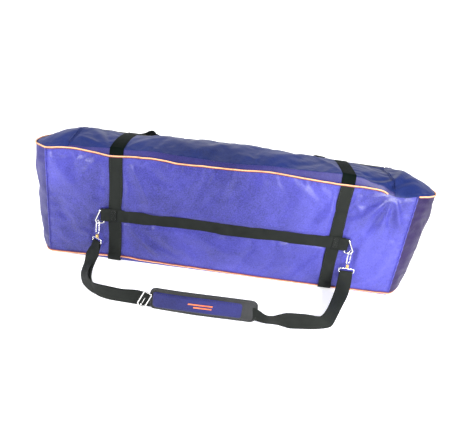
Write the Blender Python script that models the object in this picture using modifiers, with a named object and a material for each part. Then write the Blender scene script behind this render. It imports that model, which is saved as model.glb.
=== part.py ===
"""Soft padded carry case for a long telescope tube.

The case stands on its flat bottom.  X runs along its length, -Y is the front
with the shoulder strap, Z is up, and the origin is the middle of the underside.
Fabric panels are thin shells over foam, with a lining inside.  The top is a lid
that folds forward about the front crease once the zip along the rear is open.
"""
import math

import bmesh
import bpy
from mathutils import Matrix, Vector

# ---------------------------------------------------------------- driving sizes
LENGTH = 1.000            # between the vertical seams of the front panel
DEPTH = 0.210             # outer faces of the front and back panels
END_BULGE = 0.062         # how far each end swells past its vertical seams
WALL_TOP = 0.308          # height of the upper piping
CROWN = 0.042             # rise of the top above the upper piping
CROWN_POWER = 2.2         # squareness of the crown's cross section
CROWN_RUN = 0.085         # length over which the crown falls away at each end
WALL_BOTTOM = 0.0115      # height of the lower piping

FABRIC = 0.0015
FOAM = 0.008
LINING = 0.001
WEB_WIDTH = 0.037         # nominal 38 mm webbing
WEB_THICK = 0.0016
PIPING_RADIUS = 0.0022
GAP = 0.0003              # clearance between pieces that touch

STRAP_X = 0.310           # centre of the two straps round the case
CREASE_RISE = 0.016       # front crease above the upper piping
HINGE_CLEAR = 0.0045      # webbing stops this far above and below the crease
LID_HALF = 0.440
ZIP_Y = 0.058
ZIP_HALF = 0.006
BOARD = 0.0025            # stiffener in the bottom
BOARD_SEAT = 0.0036       # underside of the board
TRAY_WALL = 0.0032        # bottom fabric with the layers folded under it
LID_FOAM = 0.005
TAPE_THICK = 0.0014
EDGE_ANGLE = math.radians(88.5)     # the crown's fabric stops here, at the piping
SLIDER_SIZE = (0.012, 0.009, 0.0026)
TAB_SIZE = (0.026, 0.008)
TAB_THICK = 0.0014

HANDLE_WIDTH = 0.034
HANDLE_TAB_WIDTH = 0.030
GRIP_LENGTH = 0.150
GRIP_SECTION = (0.0100, 0.046)
GRIP_SLOT = (0.0030, 0.036)
HANDLE_LEVEL = 0.2640     # centre of the hanging grip

HALF_Y = DEPTH / 2
END_RADIUS = (HALF_Y ** 2 + END_BULGE ** 2) / (2 * END_BULGE)
END_CENTRE = LENGTH / 2 + END_BULGE - END_RADIUS

# D-rings, hooks and the shoulder strap
RING_BAR_X = 0.343
RING_HEIGHT = {"left": 0.1425, "right": 0.1495}
RING_TILT = {"left": math.radians(8), "right": math.radians(2)}
RING_OPEN = math.radians(20)
RING_HALF_BAR = 0.024
RING_REACH = 0.029
RING_WIRE = 0.0018
RING_BAR_Y = -HALF_Y - 0.0063
HOOK_ANGLE = math.radians(-55)      # where the hook hangs on the ring's bow
HOOK_LEAN = math.radians(-8)
HOOK_SWIVEL = math.radians(45)
EYE_TURN = {"left": math.radians(-40), "right": 0.0}
CLAW_INNER = 0.0070
CLAW_OUTER = 0.0105
CLAW_LENGTH = 0.024
CLAW_THICK = 0.0032
CLAW_PLAY = 0.0025
BARREL_TOP = -(CLAW_LENGTH + CLAW_OUTER + GAP)
BARREL_LENGTH = 0.009
EYE_WIRE = 0.0018
EYE_TOP = BARREL_TOP - BARREL_LENGTH - GAP - EYE_WIRE
EYE_HEIGHT = 0.0115
EYE_HALF_WIDTH = 0.0213

PAD_LENGTH = 0.262
PAD_HEIGHT = 0.058
PAD_THICK = 0.007
PAD_CENTRE = Vector((-0.0245, -0.3200, 0.0305))
STRAP_Y = -0.3185                   # the strap's straight run on the floor
RUN_Z = 0.0236                      # its mid height
ADJUSTER_X = -0.176
LAYER_STEP = 0.0030                 # from the main layer to the one doubled back
ADJUSTER_SIZE = (0.0180, 0.0440)
ADJUSTER_WIRE = 0.0012
PAD_COVER = 0.0016

# ---------------------------------------------------------------- scene helpers


def clear_scene():
    for obj in list(bpy.data.objects):
        bpy.data.objects.remove(obj, do_unlink=True)


def new_collection(name):
    collection = bpy.data.collections.new(name)
    bpy.context.scene.collection.children.link(collection)
    return collection


def material(name, colour, roughness, metallic=0.0):
    mat = bpy.data.materials.new(name)
    mat.use_nodes = True
    shader = mat.node_tree.nodes["Principled BSDF"]
    shader.inputs["Base Color"].default_value = (*colour, 1.0)
    shader.inputs["Roughness"].default_value = roughness
    shader.inputs["Metallic"].default_value = metallic
    mat.diffuse_color = (*colour, 1.0)
    return mat


def add(name, data, look, parent=None, matrix=None):
    """Link one sub-part, in its parent's frame or in the world."""
    obj = bpy.data.objects.new(name, data)
    PARTS.objects.link(obj)
    obj.data.materials.append(material(name + "_look", *look))
    obj.parent = parent
    if matrix is not None:
        obj.matrix_basis = matrix
    return obj


def empty(name, matrix, parent=None):
    obj = bpy.data.objects.new(name, None)
    PARTS.objects.link(obj)
    obj.parent = parent
    obj.matrix_basis = matrix
    return obj


def smooth(obj, angle=35):
    obj.data.shade_smooth()
    obj.data.set_sharp_from_angle(angle=math.radians(angle))


def grid_mesh(name, rows, closed=False):
    """Quads between rows of points; (along a row) x (row to row) points out."""
    mesh = bpy.data.meshes.new(name)
    bm = bmesh.new()
    verts = [[bm.verts.new(point) for point in row] for row in rows]
    count = len(rows[0])
    for low, high in zip(verts, verts[1:]):
        for i in range(count if closed else count - 1):
            j = (i + 1) % count
            bm.faces.new((low[i], low[j], high[j], high[i]))
    bm.to_mesh(mesh)
    bm.free()
    return mesh


def solidify(obj, thickness, outward=False, even=True):
    mod = obj.modifiers.new("Thickness", "SOLIDIFY")
    mod.thickness = thickness
    mod.offset = 1.0 if outward else -1.0
    mod.use_even_offset = even
    return mod


def box(name, size, look, parent=None, matrix=None, bevel=0.0):
    mesh = bpy.data.meshes.new(name)
    bm = bmesh.new()
    bmesh.ops.create_cube(bm, size=1.0, matrix=Matrix.Diagonal((*size, 1.0)))
    bm.to_mesh(mesh)
    bm.free()
    obj = add(name, mesh, look, parent, matrix)
    if bevel:
        mod = obj.modifiers.new("Edges", "BEVEL")
        mod.width = bevel
        mod.segments = 2
        smooth(obj)
    return obj


def wire(name, points, radius, look, parent=None, matrix=None, cyclic=False):
    curve = bpy.data.curves.new(name, "CURVE")
    curve.dimensions = "3D"
    curve.bevel_depth = radius
    curve.bevel_resolution = 2
    curve.use_fill_caps = True
    spline = curve.splines.new("POLY")
    spline.points.add(len(points) - 1)
    for target, point in zip(spline.points, points):
        target.co = (*point, 1.0)
    spline.use_cyclic_u = cyclic
    return add(name, curve, look, parent, matrix)


def plate(name, outlines, thickness, look, parent=None, matrix=None):
    """Flat plate in the local XZ plane, from closed outlines of (x, z)."""
    curve = bpy.data.curves.new(name, "CURVE")
    curve.dimensions = "2D"
    curve.fill_mode = "BOTH"
    curve.extrude = thickness / 2
    for outline in outlines:
        spline = curve.splines.new("POLY")
        spline.points.add(len(outline) - 1)
        for target, (x, z) in zip(spline.points, outline):
            target.co = (x, z, 0.0, 1.0)
        spline.use_cyclic_u = True
    upright = Matrix.Rotation(math.radians(90), 4, "X")
    place = matrix if matrix is not None else Matrix.Identity(4)
    return add(name, curve, look, parent, place @ upright)


def arc(centre, radius, start, end, steps):
    """Points on an arc, angles in degrees."""
    angles = [math.radians(start + (end - start) * i / steps) for i in range(steps + 1)]
    return [(centre[0] + radius * math.cos(a), centre[1] + radius * math.sin(a)) for a in angles]


def rounded_rectangle(width, height, radius, steps=4):
    x, y = width / 2 - radius, height / 2 - radius
    points = []
    for cx, cy, start in ((x, y, 0), (-x, y, 90), (-x, -y, 180), (x, -y, 270)):
        points += arc((cx, cy), radius, start, start + 90, steps)
    return points


def ribbon(name, stations, width, thickness, look, parent=None):
    """Webbing along (centre, width direction) stations, thick about its middle."""
    rows = []
    for centre, across in stations:
        half = Vector(across).normalized() * width / 2
        rows.append((Vector(centre) - half, Vector(centre) + half))
    obj = add(name, grid_mesh(name, rows), look, parent)
    mod = solidify(obj, thickness)
    mod.offset = 0.0
    return obj


# ---------------------------------------------------------------- case surface


def seam_x(inset=0.0):
    """Half length of the front and back faces, moved in by inset."""
    radius, half = END_RADIUS - inset, HALF_Y - inset
    return END_CENTRE + math.sqrt(radius ** 2 - half ** 2)


def end_arc(side, inset, steps=10):
    """Plan points of one bulged end, counter-clockwise seen from above."""
    radius, half = END_RADIUS - inset, HALF_Y - inset
    sweep = math.asin(half / radius)
    points = []
    for i in range(steps + 1):
        a = -sweep + 2 * sweep * i / steps
        points.append((side * (END_CENTRE + radius * math.cos(a)), side * radius * math.sin(a)))
    return points


def outline(inset):
    """The whole plan outline, moved in by inset."""
    return end_arc(1, inset) + end_arc(-1, inset)


def end_x(y):
    return END_CENTRE + math.sqrt(END_RADIUS ** 2 - y ** 2)


def crown_angle(y):
    """Section angle at which the crown stands over y."""
    return math.copysign(math.asin(min(1.0, abs(y) / HALF_Y) ** (CROWN_POWER / 2)), y)


def crown_point(x, angle):
    """Point on the outer surface of the top."""
    y = math.copysign(abs(math.sin(angle)) ** (2 / CROWN_POWER) * HALF_Y, angle)
    rise = math.cos(angle) ** (2 / CROWN_POWER)
    left = max(0.0, min(1.0, (end_x(y) - abs(x)) / CROWN_RUN))
    fall = (1.0 - (1.0 - left) ** 2) ** 0.8
    return Vector((x, y, WALL_TOP + CROWN * rise * fall))


def crown_normal(x, angle):
    step = 0.004
    along = crown_point(x + step, angle) - crown_point(x - step, angle)
    across = crown_point(x, angle + step) - crown_point(x, angle - step)
    return along.cross(across).normalized()


def crown_patch(name, xs, angles, depth, thickness, look, parent=None):
    """Shell that follows the crown, its outer face depth below the surface."""
    rows = []
    for angle in angles:
        rows.append([crown_point(x, angle) - depth * crown_normal(x, angle) for x in xs])
    obj = add(name, grid_mesh(name, rows), look)
    solidify(obj, thickness, even=False)
    smooth(obj, 40)
    attach(obj, parent)
    return obj


def attach(obj, parent):
    """Parent a piece made in world coordinates, leaving it where it is."""
    if parent is not None:
        obj.parent = parent
        obj.matrix_parent_inverse = world_matrix(parent).inverted()


def world_matrix(obj):
    bpy.context.view_layer.update()
    return obj.matrix_world.copy()


def spread(start, end, steps):
    return [start + (end - start) * i / steps for i in range(steps + 1)]


# ---------------------------------------------------------------- looks

FABRIC_BLUE = ((0.10, 0.09, 0.42), 0.45)
FABRIC_TOP = ((0.03, 0.06, 0.26), 0.5)
WEBBING = ((0.035, 0.040, 0.042), 0.75)
PIPING = ((0.95, 0.36, 0.14), 0.5)
FOAM_GREY = ((0.30, 0.30, 0.32), 0.9)
LINING_DARK = ((0.03, 0.03, 0.05), 0.8)
ZIP_BLACK = ((0.02, 0.02, 0.02), 0.55)
NICKEL = ((0.78, 0.77, 0.74), 0.22, 1.0)
BRASSY = ((0.75, 0.58, 0.32), 0.3, 1.0)
BOARD_BLACK = ((0.05, 0.05, 0.05), 0.6)

# ---------------------------------------------------------------- case body


def wall_panels():
    """Outer fabric: front, back and the two bulged ends."""
    low, high = WALL_BOTTOM - 0.0020, WALL_TOP - 0.0020
    reach = seam_x() - FABRIC - GAP
    for name, side in (("front_panel", -1), ("back_panel", 1)):
        xs = (-reach, reach) if side < 0 else (reach, -reach)
        rows = [[(x, side * HALF_Y, z) for x in xs] for z in (low, high)]
        solidify(add(name, grid_mesh(name, rows), FABRIC_BLUE), FABRIC)
    for name, side in (("right_end_panel", 1), ("left_end_panel", -1)):
        plan = end_arc(side, 0.0)
        rows = [[(x, y, z) for x, y in plan] for z in (low, high)]
        obj = add(name, grid_mesh(name, rows), FABRIC_BLUE)
        solidify(obj, FABRIC)
        smooth(obj)


def wall_foam():
    """Foam slabs that stand behind the outer fabric."""
    inset = FABRIC + GAP
    low, high = 0.0100, WALL_TOP - 0.010
    reach = seam_x(inset) - 0.006
    for name, side in (("front_foam", -1), ("back_foam", 1)):
        place = Matrix.Translation((0, side * (HALF_Y - inset - FOAM / 2), (low + high) / 2))
        box(name, (2 * reach, FOAM, high - low), FOAM_GREY, matrix=place)
    for name, side in (("right_end_foam", 1), ("left_end_foam", -1)):
        plan = end_arc(side, inset)[1:-1]
        rows = [[(x, y, z) for x, y in plan] for z in (low, high)]
        obj = add(name, grid_mesh(name, rows), FOAM_GREY)
        solidify(obj, FOAM)
        smooth(obj)


def lining_tub():
    """One dark lining that covers the foam, open at the top."""
    inset = FABRIC + FOAM + 3 * GAP
    floor = WALL_BOTTOM - 0.0035 + BOARD
    levels = (floor, WALL_TOP - 0.0110)
    rows = [[(x, y, z) for x, y in outline(inset)] for z in levels]
    mesh = grid_mesh("lining_tub", rows, closed=True)
    cap_floor(mesh, len(rows[0]))
    obj = add("lining_tub", mesh, LINING_DARK)
    solidify(obj, LINING)


def cap_floor(mesh, count, top=False):
    """Close the lowest ring of a two or three ring mesh, and its next ring with top."""
    bm = bmesh.new()
    bm.from_mesh(mesh)
    bm.verts.ensure_lookup_table()
    bm.faces.new([bm.verts[i] for i in reversed(range(count))])
    if top:
        bm.faces.new([bm.verts[count + i] for i in range(count)])
    bm.to_mesh(mesh)
    bm.free()


def bottom():
    """Shallow fabric tray with channels for the straps, and its board."""
    rings = ((0.008, 0.0), (0.0025, 0.002), (0.0, WALL_BOTTOM - 0.003))
    rows = [[(x, y, z) for x, y in outline(inset)] for inset, z in rings]
    mesh = grid_mesh("bottom_panel", rows, closed=True)
    cap_floor(mesh, len(rows[0]))
    tray = add("bottom_panel", mesh, FABRIC_BLUE)
    solidify(tray, TRAY_WALL)
    for side, label in ((-1, "left"), (1, "right")):
        cutter = bpy.data.objects.new(label + "_channel_cutter", bpy.data.meshes.new("channel"))
        CUTTERS.objects.link(cutter)
        bm = bmesh.new()
        bmesh.ops.create_cube(bm, size=1.0)
        bmesh.ops.scale(bm, vec=(WEB_WIDTH + 4 * GAP, DEPTH + 0.02, 0.0040), verts=bm.verts)
        bm.to_mesh(cutter.data)
        bm.free()
        cutter.location = (side * STRAP_X, 0, WEB_THICK + GAP - 0.0020)
        cutter.hide_render = True
        cutter.display_type = "WIRE"
        cut = tray.modifiers.new(label + " channel", "BOOLEAN")
        cut.operation = "DIFFERENCE"
        cut.object = cutter
    inset = FABRIC + FOAM
    rows = [[(x, y, z) for x, y in outline(inset)] for z in (BOARD_SEAT, BOARD_SEAT + BOARD)]
    mesh = grid_mesh("bottom_board", rows, closed=True)
    cap_floor(mesh, len(rows[0]), top=True)
    add("bottom_board", mesh, BOARD_BLACK)


def piping():
    """Corded piping in the two long seams round the case."""
    for name, z in (("upper_piping", WALL_TOP), ("lower_piping", WALL_BOTTOM)):
        points = [(x, y, z) for x, y in outline(-(PIPING_RADIUS + GAP))]
        wire(name, points, PIPING_RADIUS, PIPING, cyclic=True)


def top_shell():
    """Fixed rim of the top: front band, rear band and the two end caps."""
    edge = EDGE_ANGLE
    crease = -crown_rise_angle(CREASE_RISE)
    xs = spread(-LID_HALF, LID_HALF, 2)
    crown_patch("top_front_band", xs, spread(-edge, crease - 0.004, 3), 0.0, FABRIC, FABRIC_TOP)
    rear = crown_angle(ZIP_Y + ZIP_HALF + GAP)
    crown_patch("top_rear_band", xs, spread(rear, edge, 5), 0.0, FABRIC, FABRIC_TOP)
    for name, side in (("left_end_cap", -1), ("right_end_cap", 1)):
        rows = []
        for angle in spread(-edge, edge, 12):
            y = crown_point(0, angle).y
            span = spread(LID_HALF + GAP, end_x(y) - 0.0004, 5)
            span = span if side > 0 else [-x for x in reversed(span)]
            rows.append([crown_point(x, angle) for x in span])
        obj = add(name, grid_mesh(name, rows), FABRIC_TOP)
        solidify(obj, FABRIC, even=False)
        smooth(obj, 40)


def crown_rise_angle(rise):
    """Section angle at which the crown has risen by rise above the piping."""
    return math.acos((rise / CROWN) ** (CROWN_POWER / 2))


def body_straps():
    """Webbing sewn round the case: up the front, under, and up the back."""
    face = HALF_Y + GAP
    high = WALL_TOP - PIPING_RADIUS - 2 * GAP
    half = [(0.0, WEB_THICK), (face - 0.001, WEB_THICK), (face + 0.0035, 0.0042),
            (face + 0.0050, 0.0085), (face + 0.0050, 0.0150), (face, 0.0220), (face, high)]
    section = [(-y, z) for y, z in reversed(half)] + half[1:]
    lowest = crown_rise_angle(0.0035)
    crease = crown_rise_angle(CREASE_RISE - HINGE_CLEAR)
    angles = {"band": spread(-lowest, -crease, 2),
              "rear": spread(crown_angle(ZIP_Y + ZIP_HALF + 0.002), lowest, 5)}
    for label, side in (("left", -1), ("right", 1)):
        xs = [side * STRAP_X - WEB_WIDTH / 2, side * STRAP_X + WEB_WIDTH / 2]
        rows = [[(x, y, z) for x in reversed(xs)] for y, z in section]
        name = label + "_body_strap"
        obj = add(name, grid_mesh(name, rows), WEBBING)
        solidify(obj, WEB_THICK, outward=True)
        for part, span in angles.items():
            crown_patch(f"{label}_{part}_strap", xs, span, -(WEB_THICK + GAP), WEB_THICK, WEBBING)


def cross_strap():
    """Webbing across the front, looped round the straight bar of each ring."""
    inner = -HALF_Y - GAP - WEB_THICK - GAP
    middle = inner - WEB_THICK / 2
    turn = 0.0032
    path = []
    for side in (-1, 1):
        bar = RING_BAR_X + 0.0027
        loop = [(0.3220, middle - 2 * turn + 0.0028), (0.3300, middle - 2 * turn)]
        loop += [(bar, middle - 2 * turn)]
        loop += [(bar + turn * math.sin(a), middle - turn - turn * math.cos(a))
                 for a in (math.radians(d) for d in (45, 90, 135))]
        loop += [(bar, middle), (0.3290, middle)]
        loop = [(side * x, y) for x, y in loop]
        path += loop if side < 0 else list(reversed(loop))
    slope = (RING_HEIGHT["right"] - RING_HEIGHT["left"]) / (2 * RING_BAR_X)
    stations = []
    for x, y in path:
        z = RING_HEIGHT["left"] + slope * (x + RING_BAR_X)
        stations.append(((x, y, z), (0, 0, 1)))
    ribbon("cross_strap", stations, WEB_WIDTH, WEB_THICK, WEBBING)


# ---------------------------------------------------------------- lid and zip


def lid():
    """Top panel, its foam and lining, and the strap ends sewn on it."""
    crease = crown_rise_angle(CREASE_RISE)
    hinge_point = crown_point(0, -crease)
    pivot = empty("lid_pivot", Matrix.Translation((0, hinge_point.y, hinge_point.z)))
    xs = spread(-LID_HALF, LID_HALF, 2)
    rear = crown_angle(ZIP_Y - ZIP_HALF - GAP)
    crown_patch("lid_panel", xs, spread(-crease + 0.004, rear, 10), 0.0, FABRIC, FABRIC_TOP, pivot)
    inner = spread(-crease + 0.20, rear - 0.05, 8)
    xs = spread(-LID_HALF + 0.01, LID_HALF - 0.01, 2)
    depth = FABRIC + 3 * GAP
    crown_patch("lid_foam", xs, inner, depth, LID_FOAM, FOAM_GREY, pivot)
    crown_patch("lid_lining", xs, inner, depth + LID_FOAM + GAP, LINING, LINING_DARK, pivot)
    for label, side in (("left", -1), ("right", 1)):
        xs = [side * STRAP_X - WEB_WIDTH / 2, side * STRAP_X + WEB_WIDTH / 2]
        angles = spread(-crown_rise_angle(CREASE_RISE + HINGE_CLEAR), rear - 0.02, 9)
        crown_patch(label + "_lid_strap", xs, angles, -(WEB_THICK + GAP), WEB_THICK, WEBBING, pivot)
    return pivot


def zip_tapes(pivot):
    """The two halves of the zip, on the lid and on the rear band."""
    xs = spread(-LID_HALF, LID_HALF, 2)
    for name, low, high, parent in (
            ("zip_lid_tape", ZIP_Y - ZIP_HALF, ZIP_Y - GAP, pivot),
            ("zip_rear_tape", ZIP_Y + GAP, ZIP_Y + ZIP_HALF, None)):
        angles = [crown_angle(low), crown_angle(high)]
        crown_patch(name, xs, angles, 0.0, TAPE_THICK, ZIP_BLACK, parent)


def zip_slider():
    """Slider parked at the right end of the zip, with its pull tab."""
    surface = crown_point(0, crown_angle(ZIP_Y))
    lean = math.atan2(crown_normal(0, crown_angle(ZIP_Y)).y, crown_normal(0, crown_angle(ZIP_Y)).z)
    tilt = Matrix.Rotation(-lean, 4, "X")
    seat = Matrix.Translation((LID_HALF + 0.010, surface.y, surface.z)) @ tilt
    slider = empty("zip_slider_frame", seat)
    height = SLIDER_SIZE[2]
    lift = Matrix.Translation((0, 0, height / 2 + 0.0005))
    box("zip_slider", SLIDER_SIZE, NICKEL, slider, lift, bevel=0.0008)
    hinge = empty("zip_pull_pivot", Matrix.Translation((0, 0, height + 0.0020)), slider)
    tab = rounded_rectangle(*TAB_SIZE, 0.003)
    flat = Matrix.Translation((0.0135, 0, 0)) @ Matrix.Rotation(math.radians(90), 4, "X")
    plate("zip_pull_tab", [tab], TAB_THICK, NICKEL, hinge, flat)


# ---------------------------------------------------------------- carry handle


def carry_handle():
    """Grab handle behind the zip; it hangs down the back when it is let go."""
    for label, side in (("left", -1), ("right", 1)):
        lift = 0.0042
        low, high = crown_point(0, crown_angle(0.0755)), crown_point(0, crown_angle(0.091))
        stations = [((side * 0.2985, low.y, low.z + lift), (0.9, 0.35, 0)),
                    ((side * 0.2860, low.y + 0.001, low.z + lift + 0.004), (0.75, 0.6, 0.05)),
                    ((side * 0.2720, high.y - 0.010, high.z + lift + 0.008), (0.85, 0.45, 0.0)),
                    ((side * 0.2640, high.y + 0.002, high.z + lift + 0.001), (1, 0.1, 0))]
        stations = [(c, (side * w[0], w[1], w[2])) for c, w in stations]
        ribbon(label + "_handle_tab", stations, HANDLE_TAB_WIDTH, WEB_THICK, WEBBING)
    axis = Vector((0, 0.1005, 0.3335))
    pivot = empty("carry_handle_pivot", Matrix.Translation(axis))
    back = HALF_Y + 2 * PIPING_RADIUS + GAP + 0.0060
    half = [(0.262, 0.1035, 0.3325), (0.258, back - 0.004, 0.3270), (0.253, back, 0.3180),
            (0.243, back, 0.2950), (0.228, back, 0.2800), (0.200, back, 0.2710),
            (0.100, back, HANDLE_LEVEL)]
    leans = [(1, 0.1, 0), (1, 0.05, 0.1), (1, 0, 0.2), (0.85, 0, 0.5), (0.5, 0, 0.85),
             (0.12, 0, 1), (0, 0, 1)]
    stations = [((-x, y, z), (w[0], w[1], w[2])) for (x, y, z), w in zip(half, leans)]
    stations += [((x, y, z), (-w[0], w[1], w[2]))
                 for (x, y, z), w in zip(reversed(half), reversed(leans))]
    webbing = ribbon("carry_handle_webbing", stations, HANDLE_WIDTH, WEB_THICK, WEBBING)
    attach(webbing, pivot)
    outer = rounded_rectangle(*GRIP_SECTION, 0.0045)
    slot = rounded_rectangle(*GRIP_SLOT, 0.0010, steps=1)
    place = Matrix.Translation((0, back, HANDLE_LEVEL)) @ Matrix.Rotation(math.radians(90), 4, "Z")
    grip = plate("carry_handle_grip", [outer, slot], GRIP_LENGTH, WEBBING, None, place)
    attach(grip, pivot)


# ---------------------------------------------------------------- rings and hooks


def ring_matrix(label):
    """Frame of one D-ring: origin mid bar, +X towards the bow, Z along the bar."""
    side = -1 if label == "left" else 1
    place = Matrix.Translation((side * RING_BAR_X, RING_BAR_Y, RING_HEIGHT[label]))
    tilt = Matrix.Rotation(side * RING_TILT[label], 4, "Y")
    face = Matrix.Rotation(math.pi if side < 0 else 0.0, 4, "Z")
    swing = Matrix.Rotation(-side * RING_OPEN, 4, "Z")
    return place @ tilt @ swing @ face


def hook_matrix(label):
    """Frame of one hook: origin in the claw's bow, -Z along the hook."""
    bow = Vector((RING_REACH * math.cos(HOOK_ANGLE), 0, RING_HALF_BAR * math.sin(HOOK_ANGLE)))
    origin = ring_matrix(label) @ bow - Vector((0, 0, CLAW_PLAY))
    return Matrix.Translation(origin) @ Matrix.Rotation(HOOK_LEAN, 4, "X")


def rings():
    for label in ("left", "right"):
        bow = [(RING_REACH * math.cos(math.radians(a)), 0, RING_HALF_BAR * math.sin(math.radians(a)))
               for a in range(-80, 81, 16)]
        points = [(0, 0, -RING_HALF_BAR + 0.001)] + bow + [(0, 0, RING_HALF_BAR - 0.001)]
        pivot = empty(label + "_ring_pivot", ring_matrix(label))
        wire(label + "_ring", points, RING_WIRE, NICKEL, pivot, cyclic=True)


def hooks(strap_pivot):
    """Swivel snap hooks: body, gate and its leaf spring, barrel and eye."""
    gap_top, gap_low = -0.005, -CLAW_LENGTH - 0.0002
    body = [(CLAW_INNER, gap_top)] + arc((0, 0), CLAW_INNER, 0, 180, 8)
    body += arc((0, -CLAW_LENGTH), CLAW_INNER, 180, 350, 8)
    body += arc((0, -CLAW_LENGTH), CLAW_OUTER, -10, -180, 8)
    body += arc((0, 0), CLAW_OUTER, 180, 0, 10) + [(CLAW_OUTER, gap_top)]
    gate_x = (CLAW_INNER + CLAW_OUTER) / 2
    gate_pivot_z = gap_low + 0.0028
    for label in ("left", "right"):
        frame = world_matrix(strap_pivot).inverted() @ hook_matrix(label)
        swivel = frame @ Matrix.Rotation(HOOK_SWIVEL * (-1 if label == "left" else 1), 4, "Z")
        hook = empty(label + "_hook_pivot", swivel, strap_pivot)
        plate(label + "_hook_body", [body], CLAW_THICK, NICKEL, hook)
        barrel = Matrix.Translation((0, 0, BARREL_TOP - BARREL_LENGTH / 2))
        turned(label + "_hook_barrel", 0.0045, BARREL_LENGTH, BRASSY, hook, barrel)
        gate = empty(label + "_gate_pivot", Matrix.Translation((gate_x, 0, gate_pivot_z)), hook)
        low, high = gap_low + 0.0012 - gate_pivot_z, gap_top - 0.0004 - gate_pivot_z
        leaf = rounded_rectangle(0.0026, high - low, 0.0008, steps=2)
        rise = Matrix.Translation((0, 0, (high + low) / 2))
        plate(label + "_hook_gate", [leaf], CLAW_THICK - 0.0006, NICKEL, gate, rise)
        spring = Matrix.Translation((-0.0018, 0, 0.0050))
        box(label + "_gate_spring", (0.0004, 0.0016, 0.0090), NICKEL, gate, spring)
        turn = frame @ Matrix.Rotation(EYE_TURN[label], 4, "Z")
        loop = rounded_rectangle(2 * EYE_HALF_WIDTH, EYE_HEIGHT, 0.0028, steps=2)
        points = [(x, 0, z + EYE_TOP - EYE_HEIGHT / 2) for x, z in loop]
        wire(label + "_swivel_eye", points, EYE_WIRE, NICKEL, strap_pivot, turn, cyclic=True)


def turned(name, radius, length, look, parent, matrix):
    """Short barrel, turned about the local Z axis."""
    mesh = bpy.data.meshes.new(name)
    bm = bmesh.new()
    bmesh.ops.create_cone(bm, cap_ends=True, segments=14, radius1=radius, radius2=radius, depth=length)
    bm.to_mesh(mesh)
    bm.free()
    obj = add(name, mesh, look, parent, matrix)
    mod = obj.modifiers.new("Edges", "BEVEL")
    mod.width = 0.0012
    mod.segments = 2
    mod.limit_method = "ANGLE"
    smooth(obj)
    return obj


# ---------------------------------------------------------------- shoulder strap


def eye_loop(label, radius, degrees):
    """Stations of webbing round an eye's lower bar, angles seen along the bar."""
    frame = hook_matrix(label) @ Matrix.Rotation(EYE_TURN[label], 4, "Z")
    bar = frame @ Vector((0, 0, EYE_TOP - EYE_HEIGHT))
    along = (frame.to_3x3() @ Vector((1, 0, 0))).normalized()
    front = (frame.to_3x3() @ Vector((0, -1, 0))).normalized()
    up = (frame.to_3x3() @ Vector((0, 0, 1))).normalized()
    stations = []
    for angle in degrees:
        a = math.radians(angle)
        stations.append((bar + radius * (math.cos(a) * front + math.sin(a) * up), along))
    return stations


def left_route():
    """From the pad to the left eye, on the strap's main layer."""
    return [((-0.1580, STRAP_Y, RUN_Z), (0, 0, 1)),
            ((-0.2700, STRAP_Y, RUN_Z), (0, 0, 1)),
            ((-0.2960, -0.3090, 0.0220), (0.06, 0.10, 1)),
            ((-0.3170, -0.2880, 0.0210), (0.20, -0.05, 1)),
            ((-0.3340, -0.2580, 0.0210), (0.42, -0.20, 0.90)),
            ((-0.3450, -0.2250, 0.0225), (0.62, -0.36, 0.68)),
            ((-0.3510, -0.1900, 0.0300), (0.72, -0.50, 0.42)),
            ((-0.3550, -0.1580, 0.0410), (0.77, -0.60, 0.18))]


def right_route():
    """From the pad to the right eye."""
    return [((0.1100, -0.3200, 0.0215), (0, 0, 1)),
            ((0.1500, -0.3210, 0.0200), (0, 0.10, 1)),
            ((0.2000, -0.3170, 0.0190), (-0.05, 0.25, 1)),
            ((0.2450, -0.3110, 0.0185), (-0.20, 0.25, 0.95)),
            ((0.2760, -0.3030, 0.0170), (-0.78, 0.12, 0.72)),
            ((0.2980, -0.2730, 0.0195), (-0.85, -0.05, 0.60)),
            ((0.3180, -0.2330, 0.0245), (-0.88, -0.05, 0.46)),
            ((0.3400, -0.1830, 0.0360), (-0.94, 0.05, 0.30)),
            ((0.3520, -0.1530, 0.0500), (-0.98, 0.10, 0.12))]


def shift(stations, distance):
    """Copy of a route moved to one side of its own face."""
    moved = []
    last = len(stations) - 1
    for i, (centre, across) in enumerate(stations):
        before, after = stations[max(0, i - 1)][0], stations[min(last, i + 1)][0]
        along = Vector(after) - Vector(before)
        normal = along.cross(Vector(across)).normalized()
        moved.append((Vector(centre) + normal * distance, across))
    return moved


def strap_webbing(pivot):
    """Both runs of webbing; the left one doubles back to the adjuster."""
    radius = EYE_WIRE + WEB_THICK / 2 + 3 * GAP
    main = left_route()
    main[-1:] = main[-1:] + eye_loop("left", radius, (-10, 40, 90, 140, 190))
    behind = shift(left_route(), LAYER_STEP)
    behind[0] = (Vector((ADJUSTER_X + 0.006, STRAP_Y + LAYER_STEP, RUN_Z)), (0, 0, 1))
    left = main + list(reversed(behind))
    obj = ribbon("left_strap_webbing", left, WEB_WIDTH, WEB_THICK, WEBBING)
    attach(obj, pivot)
    right = right_route()
    right += [(c, [-v for v in w]) for c, w in eye_loop("right", radius, (-10, 40, 90, 140, 190))]
    right += list(reversed(shift(right_route()[-2:], -0.0034)))
    obj = ribbon("right_strap_webbing", right, WEB_WIDTH, WEB_THICK, WEBBING)
    attach(obj, pivot)


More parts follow.
